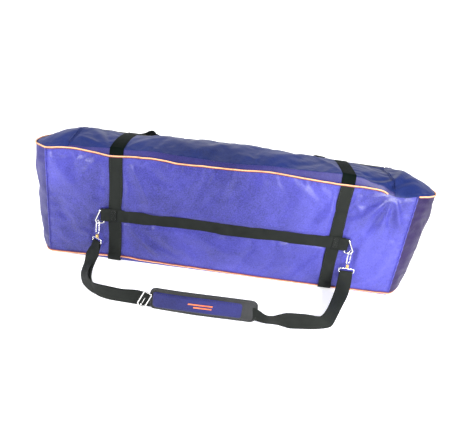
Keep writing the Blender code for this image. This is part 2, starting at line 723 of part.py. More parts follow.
def shoulder_pad(pivot):
    """Foam pad with a fabric face in front and a bound edge round it."""
    place = Matrix.Translation(PAD_CENTRE)
    core = rounded_rectangle(PAD_LENGTH - 0.009, PAD_HEIGHT - 0.009, 0.010)
    rim = rounded_rectangle(PAD_LENGTH, PAD_HEIGHT, 0.014)
    inner = rounded_rectangle(PAD_LENGTH - 0.008, PAD_HEIGHT - 0.008, 0.0105)
    obj = plate("shoulder_pad", [core], PAD_THICK, WEBBING, None, place)
    attach(obj, pivot)
    obj = plate("pad_binding", [rim, inner], PAD_THICK + 0.002, WEBBING, None, place)
    attach(obj, pivot)
    rise = PAD_THICK / 2 + GAP + PAD_COVER / 2
    face = Matrix.Translation(PAD_CENTRE + Vector((-0.012, -rise, 0)))
    cover = rounded_rectangle(PAD_LENGTH - 0.040, PAD_HEIGHT - 0.013, 0.008)
    obj = plate("pad_face_panel", [cover], PAD_COVER, FABRIC_BLUE, None, face)
    attach(obj, pivot)


def adjuster(pivot):
    """Three-bar slide: the frame behind the webbing, the middle bar in front."""
    clear = WEB_THICK / 2 + 2 * GAP + ADJUSTER_WIRE
    frame_y = STRAP_Y + LAYER_STEP + clear
    slide = empty("adjuster_pivot", Matrix.Translation((ADJUSTER_X, STRAP_Y, RUN_Z)))
    attach(slide, pivot)
    bpy.context.view_layer.update()
    loop = rounded_rectangle(*ADJUSTER_SIZE, 0.0035, steps=3)
    points = [(ADJUSTER_X + x, frame_y, RUN_Z + z) for x, z in loop]
    attach(wire("adjuster_frame", points, ADJUSTER_WIRE, NICKEL, cyclic=True), slide)
    half = ADJUSTER_SIZE[1] / 2 - 2 * ADJUSTER_WIRE
    bar = [(ADJUSTER_X, STRAP_Y - clear, RUN_Z - half), (ADJUSTER_X, STRAP_Y - clear, RUN_Z + half)]
    attach(wire("adjuster_bar", bar, ADJUSTER_WIRE, NICKEL), slide)


# ---------------------------------------------------------------- build

clear_scene()
PARTS = new_collection("telescope_carry_case")
CUTTERS = new_collection("cutters")

wall_panels()
wall_foam()
lining_tub()
bottom()
piping()
top_shell()
body_straps()
cross_strap()
LID_PIVOT = lid()
zip_tapes(LID_PIVOT)
zip_slider()
carry_handle()
rings()
STRAP_PIVOT = empty("shoulder_strap_pivot", Matrix.Translation(hook_matrix("left").translation))
hooks(STRAP_PIVOT)
strap_webbing(STRAP_PIVOT)
shoulder_pad(STRAP_PIVOT)
adjuster(STRAP_PIVOT)
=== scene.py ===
"""Looks of the telescope carry case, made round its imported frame.

Row frame: metres, X along the case, -Y to the front, Z up.  The fabric skins,
webbing, piping, pad and zip made here stand for the plain solids of the frame.
"""
import math

import bmesh
import bpy
import numpy as np
from mathutils import Matrix, Vector


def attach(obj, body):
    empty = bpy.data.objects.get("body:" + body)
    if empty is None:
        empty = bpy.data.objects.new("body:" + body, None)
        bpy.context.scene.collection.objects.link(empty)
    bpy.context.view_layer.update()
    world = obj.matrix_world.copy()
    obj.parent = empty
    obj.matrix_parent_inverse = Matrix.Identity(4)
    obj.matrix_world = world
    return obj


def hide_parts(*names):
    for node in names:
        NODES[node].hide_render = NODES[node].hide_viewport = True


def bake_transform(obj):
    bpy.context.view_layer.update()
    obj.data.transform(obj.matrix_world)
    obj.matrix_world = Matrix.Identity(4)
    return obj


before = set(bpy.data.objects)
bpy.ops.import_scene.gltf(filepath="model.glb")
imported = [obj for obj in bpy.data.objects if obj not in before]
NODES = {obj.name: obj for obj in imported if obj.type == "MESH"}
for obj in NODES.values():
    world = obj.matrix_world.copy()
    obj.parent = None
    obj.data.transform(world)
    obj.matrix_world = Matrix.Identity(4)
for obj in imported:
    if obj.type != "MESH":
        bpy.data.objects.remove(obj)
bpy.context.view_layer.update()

# ---------------------------------------------------------------- sizes of the frame

SEAM_X = 0.500                        # vertical seams of the front panel
HALF_Y = 0.105
WALL_TOP = 0.308
WALL_BOTTOM = 0.0115
CREASE_Y = 0.099                      # front crease, where the lid hinges
ZIP_Y = 0.058
ZIP_HALF = 0.006
LID_HALF = 0.440
STRAP_X = 0.310
WEB_WIDTH = 0.037
WEB_THICK = 0.0016
PIPING_RADIUS = 0.0022
RING_BAR_X = 0.343
RING_BAR_Y = -0.1113
RING_HEIGHT = {"left": 0.1425, "right": 0.1495}
SIDES = (("left", -1), ("right", 1))
LAYER_GAP = 0.0003                    # between webbing and what it lies on
FOOT_BULGE = {-1: 0.0535, 1: 0.061}   # how far the left and right ends swell at the foot
FULL_BULGE = {-1: 0.062, 1: 0.081}    # and above it
ZIP_HEIGHT = 0.3420                   # the zip runs level, in a shallow valley behind the crest
FOLD_DEPTH = 1.8                      # scale of the folds pressed into the front
HOOK_X, HOOK_Z = 0.357, 0.095         # where the hooks swing against the fabric
PAD_CENTRE = Vector((-0.0245, -0.3200, 0.0305))
PAD_LENGTH = 0.262
PAD_HEIGHT = 0.058

# How the sewn edges wander: (x, metres above or below the frame's height).
UPPER_EDGE = [(-0.560, 0.001), (-0.520, 0.007), (-0.498, 0.006), (-0.460, 0.0105), (-0.420, 0.0128),
              (-0.375, 0.0095), (-0.326, 0.0045), (-0.275, 0.009), (-0.200, 0.012), (-0.158, 0.0085),
              (-0.055, 0.0105), (0.020, 0.0125), (0.103, 0.018), (0.180, 0.014), (0.290, 0.0105),
              (0.385, 0.010), (0.405, 0.007), (0.430, -0.002), (0.465, -0.005), (0.505, 0.004),
              (0.560, 0.001)]
LOWER_EDGE = [(-0.560, 0.0), (-0.500, -0.0055), (-0.385, -0.003), (-0.285, 0.003), (-0.230, 0.0),
              (-0.030, -0.0035), (0.165, -0.006), (0.285, -0.006), (0.395, -0.005), (0.490, -0.003),
              (0.560, 0.0)]
# Height of the band between the upper edge and the front crease.
BAND_HEIGHT = [(-0.560, 0.003), (-0.470, 0.005), (-0.420, 0.007), (-0.370, 0.013), (-0.330, 0.019),
               (-0.275, 0.016), (-0.130, 0.019), (-0.030, 0.0145), (0.100, 0.0145), (0.200, 0.020),
               (0.285, 0.026), (0.350, 0.022), (0.400, 0.014), (0.440, 0.012), (0.500, 0.008),
               (0.560, 0.004)]
# Height of the middle of the top.
CREST = [(-0.563, 0.309), (-0.545, 0.315), (-0.520, 0.327), (-0.490, 0.340), (-0.455, 0.348),
         (-0.420, 0.3505), (-0.375, 0.3490), (-0.320, 0.3460), (-0.270, 0.3495), (-0.235, 0.3535),
         (-0.157, 0.3593), (-0.040, 0.3612), (0.070, 0.3620), (0.193, 0.3567), (0.300, 0.3515),
         (0.346, 0.3494), (0.417, 0.3440), (0.460, 0.3455), (0.495, 0.3460), (0.515, 0.3410),
         (0.540, 0.3290), (0.563, 0.3190), (0.583, 0.3085)]
CREST_POWER = 2.5                     # roundness of the top's cross section


def through(points, x):
    """Smooth curve through (x, value) points, level beyond the first and last."""
    px, py = np.array(points, float).T
    slope = np.gradient(py, px)
    x = np.clip(np.asarray(x, float), px[0], px[-1])
    i = np.clip(np.searchsorted(px, x) - 1, 0, len(px) - 2)
    h = px[i + 1] - px[i]
    t = (x - px[i]) / h
    start = (2 * t ** 3 - 3 * t ** 2 + 1) * py[i] + (t ** 3 - 2 * t ** 2 + t) * h * slope[i]
    return start + (3 * t ** 2 - 2 * t ** 3) * py[i + 1] + (t ** 3 - t ** 2) * h * slope[i + 1]


def step(low, high, x):
    """0 below low, 1 above high, smooth in between."""
    t = np.clip((np.asarray(x, float) - low) / (high - low), 0.0, 1.0)
    return t * t * (3 - 2 * t)


def ripple(x, z, scale, seed):
    """Smooth irregular waves of about the given wavelength, between -1 and 1."""
    rng = np.random.default_rng(seed)
    total = 0.0
    for _ in range(7):
        turn = rng.uniform(0, 2 * math.pi)
        length = scale * rng.uniform(0.7, 1.6)
        phase = rng.uniform(0, 2 * math.pi)
        along = (x * math.cos(turn) + z * math.sin(turn)) * 2 * math.pi / length
        total = total + np.sin(along + phase)
    return total / 4.0


def strokes(x, z, folds):
    """Height of fold strokes (x0, z0, x1, z1, width, height); positive stands out."""
    total = np.zeros_like(x)
    for x0, z0, x1, z1, width, height in folds:
        dx, dz = x1 - x0, z1 - z0
        length2 = dx * dx + dz * dz
        t = np.clip(((x - x0) * dx + (z - z0) * dz) / length2, 0.0, 1.0)
        away = np.hypot(x - x0 - t * dx, z - z0 - t * dz)
        fade = np.sin(np.pi * np.clip(0.12 + 0.88 * t, 0, 1)) ** 0.7
        total += height * fade * np.exp(-(away / width) ** 2)
    return total


# ---------------------------------------------------------------- materials


class Nodes:
    """Short hand for building one material's node tree."""

    def __init__(self, name, roughness, metallic=0.0, **shader):
        self.material = bpy.data.materials.new(name)
        self.material.use_nodes = True
        self.tree = self.material.node_tree
        self.shader = self.tree.nodes["Principled BSDF"]
        self.set("Roughness", roughness)
        self.set("Metallic", metallic)
        for key, value in shader.items():
            self.set(key.replace("_", " "), value)
        self.place = self.add("ShaderNodeTexCoord").outputs["Object"]

    def set(self, socket, value):
        self.shader.inputs[socket].default_value = value

    def add(self, kind, **settings):
        node = self.tree.nodes.new(kind)
        for key, value in settings.items():
            if key in node.bl_rna.properties:
                setattr(node, key, value)
            else:
                node.inputs[key.replace("_", " ")].default_value = value
        return node

    def link(self, source, target):
        self.tree.links.new(source, target)

    def stretched(self, scale):
        mapping = self.add("ShaderNodeMapping")
        mapping.inputs["Scale"].default_value = scale
        self.link(self.place, mapping.inputs["Vector"])
        return mapping.outputs["Vector"]

    def noise(self, scale, detail=3.0, distortion=0.0, vector=None):
        node = self.add("ShaderNodeTexNoise", Scale=scale, Detail=detail, Distortion=distortion)
        self.link(self.place if vector is None else vector, node.inputs["Vector"])
        return node.outputs["Fac"]

    def wave(self, scale, axis, vector=None, distortion=0.0):
        node = self.add("ShaderNodeTexWave", wave_type="BANDS", Scale=scale, Distortion=distortion)
        node.bands_direction = axis
        self.link(self.place if vector is None else vector, node.inputs["Vector"])
        return node.outputs["Fac"]

    def ramp(self, factor, stops):
        node = self.add("ShaderNodeValToRGB")
        ramp = node.color_ramp
        while len(ramp.elements) < len(stops):
            ramp.elements.new(0.5)
        for element, (position, colour) in zip(ramp.elements, stops):
            element.position = position
            element.color = (*colour, 1.0)
        self.link(factor, node.inputs["Fac"])
        return node.outputs["Color"]

    def math(self, operation, a, b):
        node = self.add("ShaderNodeMath", operation=operation)
        for socket, value in zip(node.inputs, (a, b)):
            if isinstance(value, float):
                socket.default_value = value
            else:
                self.link(value, socket)
        return node.outputs["Value"]

    def range(self, value, low, high):
        node = self.add("ShaderNodeMapRange")
        self.link(value, node.inputs["Value"])
        node.inputs["To Min"].default_value = low
        node.inputs["To Max"].default_value = high
        return node.outputs["Result"]

    def bump(self, height, distance, strength=1.0, under=None):
        node = self.add("ShaderNodeBump", Distance=distance, Strength=strength)
        self.link(height, node.inputs["Height"])
        if under is not None:
            self.link(under, node.inputs["Normal"])
        return node.outputs["Normal"]

    def finish(self, colour, normal=None, roughness=None):
        self.link(colour, self.shader.inputs["Base Color"])
        if normal is not None:
            self.link(normal, self.shader.inputs["Normal"])
        if roughness is not None:
            self.link(roughness, self.shader.inputs["Roughness"])
        return self.material


def weave(n, pitch, vector=None):
    """Over and under of a plain weave with the given thread pitch."""
    threads = [n.wave(0.314 / pitch, axis, vector) for axis in ("X", "Y", "Z")]
    first = n.math("MAXIMUM", threads[0], threads[2])
    return n.math("MAXIMUM", first, threads[1])


def nylon(name, dark, light, sheen, roughness=0.42, gloss=0.4):
    """Satin nylon: mottled colour, fine weave, small creases and a soft sheen."""
    n = Nodes(name, roughness, Sheen_Weight=sheen, Sheen_Roughness=0.35, Specular_IOR_Level=gloss)
    n.set("Sheen Tint", (0.60, 0.55, 1.0, 1.0))
    cloudy = n.noise(3.2, 4.0, 0.3)
    streaky = n.noise(34.0, 5.0, 0.4)
    grain = n.noise(330.0, 2.0)
    blend = n.math("ADD", n.math("MULTIPLY", cloudy, 0.52), n.math("MULTIPLY", streaky, 0.12))
    blend = n.math("ADD", blend, n.math("MULTIPLY", grain, 0.36))
    colour = n.ramp(blend, [(0.36, dark), (0.66, light)])
    creases = n.bump(n.noise(11.0, 4.0, 0.9), 0.012, 0.28)
    fine = n.bump(n.noise(60.0, 4.0, 0.8), 0.002, 0.22, creases)
    threads = n.bump(weave(n, 0.0011), 0.00016, 0.35, fine)
    return n.finish(colour, threads, n.range(cloudy, roughness - 0.07, roughness + 0.10))


def webbing_look(name, dark, light, gloss=0.16):
    """Ribbed polypropylene webbing: cross ribs and worn patches."""
    n = Nodes(name, 0.62, Specular_IOR_Level=gloss)
    uv = n.add("ShaderNodeUVMap", uv_map="strap").outputs["UV"]
    ribs = n.wave(120.0, "X", uv, 0.4)
    cords = n.wave(150.0, "Y", uv, 0.2)
    weave_height = n.math("MULTIPLY", n.math("ADD", ribs, cords), 0.5)
    wear = n.noise(22.0, 5.0, 0.8)
    colour = n.ramp(n.math("ADD", n.math("MULTIPLY", wear, 0.8), n.math("MULTIPLY", weave_height, 0.35)),
                    [(0.25, dark), (0.85, light)])
    normal = n.bump(weave_height, 0.0005, 0.6)
    return n.finish(colour, normal, n.range(wear, 0.52, 0.74))


def cord_look(name, core, edge):
    """Satin bias tape round a cord, with a slanted rib."""
    n = Nodes(name, 0.45, Sheen_Weight=0.1)
    slant = n.stretched((1.0, 0.6, 1.4))
    ribs = n.wave(160.0, "DIAGONAL", slant, 0.3)
    patches = n.noise(40.0, 4.0, 0.5)
    colour = n.ramp(n.math("ADD", n.math("MULTIPLY", patches, 0.7), n.math("MULTIPLY", ribs, 0.3)),
                    [(0.22, edge), (0.55, core)])
    return n.finish(colour, n.bump(ribs, 0.0004, 0.5), n.range(patches, 0.38, 0.55))


def metal(name, colour, shade, roughness=0.20):
    """Plated metal with fine scratches and duller patches."""
    n = Nodes(name, roughness, 1.0)
    patches = n.noise(90.0, 3.0, 0.4)
    scratches = n.noise(420.0, 2.0, 0.0, n.stretched((1.0, 1.0, 0.12)))
    tone = n.ramp(patches, [(0.30, shade), (0.62, colour)])
    dull = n.range(patches, roughness - 0.06, roughness + 0.12)
    return n.finish(tone, n.bump(scratches, 0.0003, 0.12), dull)


def foam_look(name, dark, light):
    """Open celled foam."""
    n = Nodes(name, 0.92)
    cell = n.add("ShaderNodeTexVoronoi", Scale=420.0)
    n.link(n.place, cell.inputs["Vector"])
    colour = n.ramp(n.noise(30.0, 3.0), [(0.3, dark), (0.7, light)])
    return n.finish(colour, n.bump(cell.outputs["Distance"], 0.0008, 0.7))


def cloth_look(name, dark, light, pitch, roughness=0.8):
    """Plain woven cloth without gloss, for lining, tape, binding and board."""
    n = Nodes(name, roughness, Sheen_Weight=0.15, Sheen_Roughness=0.5)
    cloudy = n.noise(18.0, 5.0, 0.5)
    colour = n.ramp(cloudy, [(0.3, dark), (0.7, light)])
    normal = n.bump(weave(n, pitch), pitch * 0.25, 0.5, n.bump(n.noise(45.0, 3.0), 0.002, 0.2))
    return n.finish(colour, normal, n.range(cloudy, roughness - 0.08, roughness + 0.08))


def thread_look(name, colour, shade):
    n = Nodes(name, 0.6)
    twist = n.noise(900.0, 2.0)
    return n.finish(n.ramp(twist, [(0.3, shade), (0.7, colour)]), n.bump(twist, 0.0002, 0.5))


LOOK = {
    "fabric_blue": nylon("violet_nylon", (0.016, 0.017, 0.130), (0.084, 0.080, 0.49), 0.14, 0.42, 0.5),
    # Painted shade: a darker navy copy of the violet nylon for the top, standing in for the dimmer light
    # there.
    "fabric_top": nylon("navy_nylon_painted_shade", (0.005, 0.013, 0.080), (0.014, 0.030, 0.17), 0.03, 0.5, 0.25),
    # Painted shade: a darker copy of the violet nylon, for the front band and the left end.
    "fabric_painted_shade": nylon("violet_nylon_painted_shade", (0.013, 0.013, 0.090), (0.040, 0.034, 0.205), 0.14, 0.48, 0.35),
    # Painted deep shade: the darkest copy of the violet nylon, for the right end.
    "fabric_painted_deep_shade": nylon("violet_nylon_painted_deep_shade", (0.012, 0.006, 0.036), (0.030, 0.016, 0.085), 0.03, 0.46, 0.25),
    "pad_fabric": nylon("pad_nylon", (0.010, 0.012, 0.085), (0.028, 0.030, 0.19), 0.08, 0.5, 0.3),
    "webbing": webbing_look("black_webbing", (0.0045, 0.0060, 0.0052), (0.018, 0.021, 0.018)),
    # Painted shade: a darker copy of the black webbing, for the straps lying on the top.
    "crown_webbing_painted_shade": webbing_look("crown_webbing_painted_shade", (0.0010, 0.0028, 0.0020), (0.0050, 0.0095, 0.0075), 0.03),
    "pad_binding": cloth_look("black_binding", (0.006, 0.007, 0.008), (0.017, 0.018, 0.020), 0.0012, 0.6),
    "piping": cord_look("orange_piping", (1.00, 0.52, 0.27), (0.86, 0.26, 0.09)),
    # Maroon tape flange beside the piping cord; its dark colour is partly the tape's and partly painted shade
    # along the cord.
    "flange_painted_shade": cord_look("maroon_flange_painted_shade", (0.22, 0.045, 0.045), (0.10, 0.02, 0.04)),
    "foam": foam_look("grey_foam", (0.16, 0.16, 0.18), (0.26, 0.26, 0.28)),
    "lining": cloth_look("dark_lining", (0.012, 0.012, 0.022), (0.030, 0.030, 0.050), 0.0014),
    "board": cloth_look("stiffener_board", (0.022, 0.022, 0.024), (0.045, 0.045, 0.048), 0.0030, 0.65),
    "zip_tape": cloth_look("zip_tape", (0.010, 0.010, 0.011), (0.026, 0.026, 0.028), 0.0008, 0.7),
    "nickel": metal("bright_nickel", (0.97, 0.96, 0.94), (0.80, 0.79, 0.77), 0.22),
    "brass_barrel": metal("pale_brass", (0.90, 0.64, 0.26), (0.66, 0.43, 0.14), 0.28),
    "thread": thread_look("dark_thread", (0.05, 0.05, 0.055), (0.02, 0.02, 0.022)),
    "violet_thread": thread_look("violet_thread", (0.10, 0.08, 0.45), (0.05, 0.04, 0.25)),
    "mark": cloth_look("orange_print", (0.80, 0.16, 0.04), (0.95, 0.26, 0.08), 0.0012, 0.55),
}

# ---------------------------------------------------------------- mesh helpers


def new_object(name, mesh, look, body=None, smooth=True):
    obj = bpy.data.objects.new(name, mesh)
    bpy.context.scene.collection.objects.link(obj)
    mesh.materials.append(LOOK[look])
    if smooth:
        mesh.shade_smooth()
    if body:
        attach(obj, body)
    return obj


def grid(name, points, closed_rows=False):
    """Quads between the rows of a (rows, columns, 3) array."""
    rows, columns = points.shape[:2]
    mesh = bpy.data.meshes.new(name)
    index = np.arange(rows * columns).reshape(rows, columns)
    if closed_rows:
        index = np.hstack([index, index[:, :1]])
    quads = np.stack([index[:-1, :-1], index[:-1, 1:], index[1:, 1:], index[1:, :-1]], -1).reshape(-1, 4)
    mesh.from_pydata(points.reshape(-1, 3).tolist(), [], quads.tolist())
    mesh.update()
    return mesh


def unit(vectors):
    return vectors / np.maximum(np.linalg.norm(vectors, axis=-1, keepdims=True), 1e-12)


def normals_of(points):
    """Unit normals of a point grid, (along a row) x (row to row)."""
    return unit(np.cross(np.gradient(points, axis=1), np.gradient(points, axis=0)))


def run_length(path):
    """Distance along a path at each of its points."""
    return np.concatenate([[0], np.cumsum(np.linalg.norm(np.diff(path, axis=0), axis=1))])


def bulged(value, power):
    """A cosine or sine pushed out towards its limits, for rounded squares."""
    return math.copysign(abs(value) ** power, value)


def opened(mesh):
    """The mesh as a bmesh whose vertices can be looked up."""
    bm = bmesh.new()
    bm.from_mesh(mesh)
    bm.verts.ensure_lookup_table()
    return bm


def put_back(bm, mesh):
    """Write a bmesh back to its mesh with all faces turned outward."""
    bmesh.ops.recalc_face_normals(bm, faces=bm.faces)
    bm.to_mesh(mesh)
    bm.free()


def cap_ends(bm, count):
    """A face across the first and the last ring of count points."""
    bm.faces.new([bm.verts[i] for i in range(count)])
    bm.faces.new([bm.verts[len(bm.verts) - 1 - i] for i in range(count)])


def subdivide(obj, levels=1):
    mod = obj.modifiers.new("Smooth", "SUBSURF")
    mod.levels = levels
    mod.render_levels = levels
    return obj


def thicken(obj, thickness):
    mod = obj.modifiers.new("Thickness", "SOLIDIFY")
    mod.thickness = thickness
    mod.offset = -1.0
    return obj


def smooth_path(points, count):
    """Evenly spaced points on a Catmull-Rom curve through a short list of vectors."""
    pts = np.array(points, float)
    ends = np.vstack([2 * pts[0] - pts[1], pts, 2 * pts[-1] - pts[-2]])
    fine = []
    for i in range(len(pts) - 1):
        a, b, c, d = ends[i:i + 4]
        for t in np.linspace(0, 1, 24, endpoint=False):
            fine.append(0.5 * (2 * b + (c - a) * t + (2 * a - 5 * b + 4 * c - d) * t ** 2
                               + (3 * b - a - 3 * c + d) * t ** 3))
    fine.append(pts[-1])
    fine = np.array(fine)
    length = run_length(fine[:, :3])
    at = np.linspace(0, length[-1], count)
    return np.stack([np.interp(at, length, fine[:, k]) for k in range(fine.shape[1])], 1)


SECTION = [(-0.50, 0.0), (-0.488, 0.42), (-0.44, 0.50), (-0.22, 0.50), (0.0, 0.50), (0.22, 0.50),
           (0.44, 0.50), (0.488, 0.42), (0.50, 0.0), (0.488, -0.42), (0.44, -0.50), (0.22, -0.50),
           (0.0, -0.50), (-0.22, -0.50), (-0.44, -0.50), (-0.488, -0.42)]


def webbing(name, centres, acrosses, thickness=WEB_THICK, look="webbing", body=None, bow=0.0):
    """Closed webbing mesh along stations; acrosses hold the full width of each station."""
    centres, acrosses = np.array(centres, float), np.array(acrosses, float)
    normal = unit(np.cross(unit(np.gradient(centres, axis=0)), acrosses))
    rings = []
    for share, lift in SECTION:
        curl = bow * (1 - (2 * share) ** 2)
        rings.append(centres + acrosses * share + normal * (thickness * lift + curl))
    points = np.stack(rings, 1)
    mesh = grid(name, points, closed_rows=True)
    bm = opened(mesh)
    count = len(SECTION)
    last = len(bm.verts) - count
    bm.faces.new([bm.verts[i] for i in reversed(range(count))])
    bm.faces.new([bm.verts[last + i] for i in range(count)])
    length = run_length(centres)
    layer = bm.loops.layers.uv.new("strap")
    for face in bm.faces:
        for loop in face.loops:
            row, column = divmod(loop.vert.index, count)
            loop[layer].uv = (length[row], SECTION[column][0] * WEB_WIDTH)
    bm.normal_update()
    bm.to_mesh(mesh)
    bm.free()
    obj = new_object(name, mesh, look, body)
    mesh.set_sharp_from_angle(angle=math.radians(50))
    return obj


def tube(name, path, radius, look, body=None, closed=False, sides=10, squeeze=None):
    """Round cord along points; squeeze scales the radius at each point."""
    path = np.array(path, float)
    if closed:
        along = unit(np.roll(path, -1, 0) - np.roll(path, 1, 0))
    else:
        along = unit(np.gradient(path, axis=0))
    side = np.cross(along, (0.0, 0.0, 1.0))
    weak = np.linalg.norm(side, axis=1) < 0.2
    side[weak] = np.cross(along[weak], (0.0, 1.0, 0.0))
    side = unit(side)
    up = np.cross(side, along)
    size = np.full(len(path), radius) if squeeze is None else radius * np.asarray(squeeze)
    turn = np.linspace(0, 2 * math.pi, sides, endpoint=False)
    rings = path[:, None] + size[:, None, None] * (np.cos(turn)[None, :, None] * side[:, None]
                                                   + np.sin(turn)[None, :, None] * up[:, None])
    if closed:
        rings = np.concatenate([rings, rings[:1]], 0)
    mesh = grid(name, rings, closed_rows=True)
    bm = opened(mesh)
    if closed:
        bmesh.ops.remove_doubles(bm, verts=bm.verts, dist=1e-6)
    else:
        cap_ends(bm, sides)
    put_back(bm, mesh)
    return new_object(name, mesh, look, body)


def capped(name, rows, look, body):
    """Closed mesh from rings of points, with a face across each end ring."""
    mesh = grid(name, rows, closed_rows=True)
    bm = opened(mesh)
    cap_ends(bm, rows.shape[1])
    put_back(bm, mesh)
    return new_object(name, mesh, look, body)


def stitches(name, lines, body, look="thread", length=0.0032, pitch=0.0046, radius=0.00042):
    """Rows of short sewn threads; each line is a list of points with its outward normal."""
    bm = bmesh.new()
    for points, outward in lines:
        total = np.linalg.norm(np.diff(np.array(points, float), axis=0), axis=1).sum()
        path = smooth_path(points, max(2, int(total / pitch) + 1))
        outward = Vector(outward).normalized()
        for a, b in zip(path, path[1:]):
            start, end = Vector(a), Vector(b)
            along = (end - start).normalized()
            across = along.cross(outward).normalized()
            middle = (start + end) / 2 + outward * radius * 0.6
            turn = Matrix((along, across, outward)).transposed().to_4x4()
            size = Matrix.Diagonal((length / 2, radius, radius, 1.0))
            bmesh.ops.create_icosphere(bm, subdivisions=1, radius=1.0,
                                       matrix=Matrix.Translation(middle) @ turn @ size)
    mesh = bpy.data.meshes.new(name)
    bm.to_mesh(mesh)
    bm.free()
    return new_object(name, mesh, look, body)


# ---------------------------------------------------------------- shape of the case


def end_radius(bulge):
    return (HALF_Y ** 2 + bulge ** 2) / (2 * bulge)


def end_bulge(side, z):
    """The stuffed ends swell a little more above their foot."""
    low, high = FOOT_BULGE[side], FULL_BULGE[side]
    return low + (high - low) * step(0.0, 0.20, z)


def edge_rise(points, x, y):
    """A sewn edge's wandering on the front, fading out over the ends to the back."""
    behind = step(-HALF_Y, HALF_Y, y)
    return through(points, x) * (1 - behind) + 0.002 * behind * np.sin(9 * np.asarray(x))


def upper_edge(x, y):
    return WALL_TOP + edge_rise(UPPER_EDGE, x, y)


def lower_edge(x, y):
    return WALL_BOTTOM + edge_rise(LOWER_EDGE, x, y)


FRONT_FOLDS = [
    (-0.288, 0.312, -0.175, 0.150, 0.016, 0.0040), (-0.286, 0.300, -0.235, 0.190, 0.012, -0.0045),
    (-0.284, 0.308, -0.140, 0.250, 0.012, -0.0030), (-0.280, 0.316, -0.090, 0.290, 0.010, 0.0025),
    (-0.262, 0.255, -0.225, 0.120, 0.018, -0.0030), (-0.200, 0.290, -0.080, 0.200, 0.020, 0.0020),
    (0.165, 0.116, 0.205, 0.030, 0.012, 0.0032), (0.190, 0.118, 0.235, 0.035, 0.012, -0.0022),
    (-0.255, 0.110, -0.175, 0.030, 0.013, 0.0028), (-0.285, 0.080, -0.235, 0.020, 0.012, -0.0026),
    (-0.060, 0.105, 0.060, 0.060, 0.022, 0.0022), (0.020, 0.300, 0.080, 0.200, 0.022, -0.0020),
    (0.100, 0.310, 0.050, 0.210, 0.020, 0.0022), (0.210, 0.300, 0.160, 0.190, 0.022, 0.0024),
    (0.275, 0.290, 0.215, 0.170, 0.018, -0.0026), (0.285, 0.250, 0.250, 0.190, 0.012, 0.0028),
    (0.430, 0.300, 0.350, 0.215, 0.010, 0.0040), (0.432, 0.298, 0.380, 0.180, 0.009, -0.0042),
    (0.434, 0.296, 0.412, 0.170, 0.010, 0.0042), (0.438, 0.298, 0.455, 0.165, 0.009, -0.0040),
    (0.440, 0.298, 0.485, 0.195, 0.009, 0.0038), (0.430, 0.302, 0.352, 0.262, 0.009, -0.0036),
    (0.428, 0.306, 0.358, 0.292, 0.008, 0.0034), (0.395, 0.190, 0.362, 0.060, 0.014, 0.0030),
    (0.350, 0.130, 0.390, 0.030, 0.014, -0.0026), (0.470, 0.150, 0.440, 0.050, 0.014, 0.0030),
    (-0.350, 0.312, -0.420, 0.210, 0.014, 0.0028), (-0.345, 0.290, -0.365, 0.180, 0.010, -0.0026),
    (-0.490, 0.300, -0.400, 0.180, 0.018, 0.0030), (-0.480, 0.180, -0.420, 0.040, 0.018, -0.0024),
]


def above_foam(height, limit=-0.0011):
    """Folds flatten out where they would sink into the foam behind the fabric."""
    depth = np.minimum(height, 0.0)
    return np.maximum(height, 0.0) + limit * np.tanh(depth / limit)


def beside_straps(x):
    """0 under the upright straps, 1 clear of them."""
    return step(0.016, 0.030, np.abs(np.abs(x) - STRAP_X))


def front_shape(x, z):
    """How far the front fabric stands out of its plane."""
    height = (z - WALL_BOTTOM) / (WALL_TOP - WALL_BOTTOM)
    level = np.clip(height, 0, 1)
    belly = 0.0050 * np.sin(np.pi * level) ** 0.6
    small = 0.0009 * ripple(x, z, 0.085, 11) + 0.0005 * ripple(x, z, 0.034, 12)
    gather = np.sin(z * 2 * math.pi / 0.021 + 2 * np.sin(z * 31))
    pucker_right = 0.0009 * gather * np.exp(-((SEAM_X - 0.010 - x) / 0.009) ** 2)
    pucker_left = 0.0006 * np.sin(z * 2 * math.pi / 0.034) * np.exp(-((SEAM_X - 0.010 + x) / 0.009) ** 2)
    seams = step(0.0, 0.018, SEAM_X - np.abs(x))
    hem = step(0.0, 0.10, level) * step(0.0, 0.07, 1 - level)
    crossing = 1 - 0.85 * np.exp(-((z - cross_height(x)) / 0.019) ** 6) * step(0.355, 0.335, np.abs(x))
    upright = beside_straps(x)
    hooks = 1 - 0.9 * np.exp(-((np.abs(x) - HOOK_X) / 0.022) ** 4 - ((z - HOOK_Z) / 0.050) ** 4)
    free = hem * crossing * upright * hooks
    out = (belly * upright + FOLD_DEPTH * strokes(x, z, FRONT_FOLDS) + small) * free * (0.25 + 0.75 * seams)
    return above_foam(out + (pucker_right + pucker_left) * hem)


def cross_height(x):
    """Mid height of the strap across the front."""
    slope = (RING_HEIGHT["right"] - RING_HEIGHT["left"]) / (2 * RING_BAR_X)
    return RING_HEIGHT["left"] + slope * (np.asarray(x) + RING_BAR_X)


END_FOLDS = [(-0.09, 0.295, 0.02, 0.170, 0.016, 0.0040), (-0.085, 0.290, -0.035, 0.130, 0.014, -0.0040),
             (-0.095, 0.120, -0.030, 0.030, 0.014, 0.0036), (0.090, 0.290, 0.020, 0.200, 0.016, 0.0036),
             (0.010, 0.180, -0.050, 0.070, 0.018, -0.0036), (0.060, 0.150, 0.090, 0.040, 0.014, 0.0034)]
BACK_FOLDS = [(-0.29, 0.300, -0.19, 0.190, 0.016, 0.0034), (0.29, 0.300, 0.21, 0.180, 0.016, 0.0034),
              (-0.10, 0.290, -0.02, 0.170, 0.020, -0.0026), (0.12, 0.110, 0.02, 0.030, 0.020, 0.0026),
              (0.43, 0.290, 0.36, 0.180, 0.014, 0.0032), (-0.43, 0.290, -0.37, 0.160, 0.014, 0.0032),
              (-0.47, 0.120, -0.41, 0.030, 0.014, -0.0026), (0.24, 0.170, 0.16, 0.080, 0.018, -0.0026)]


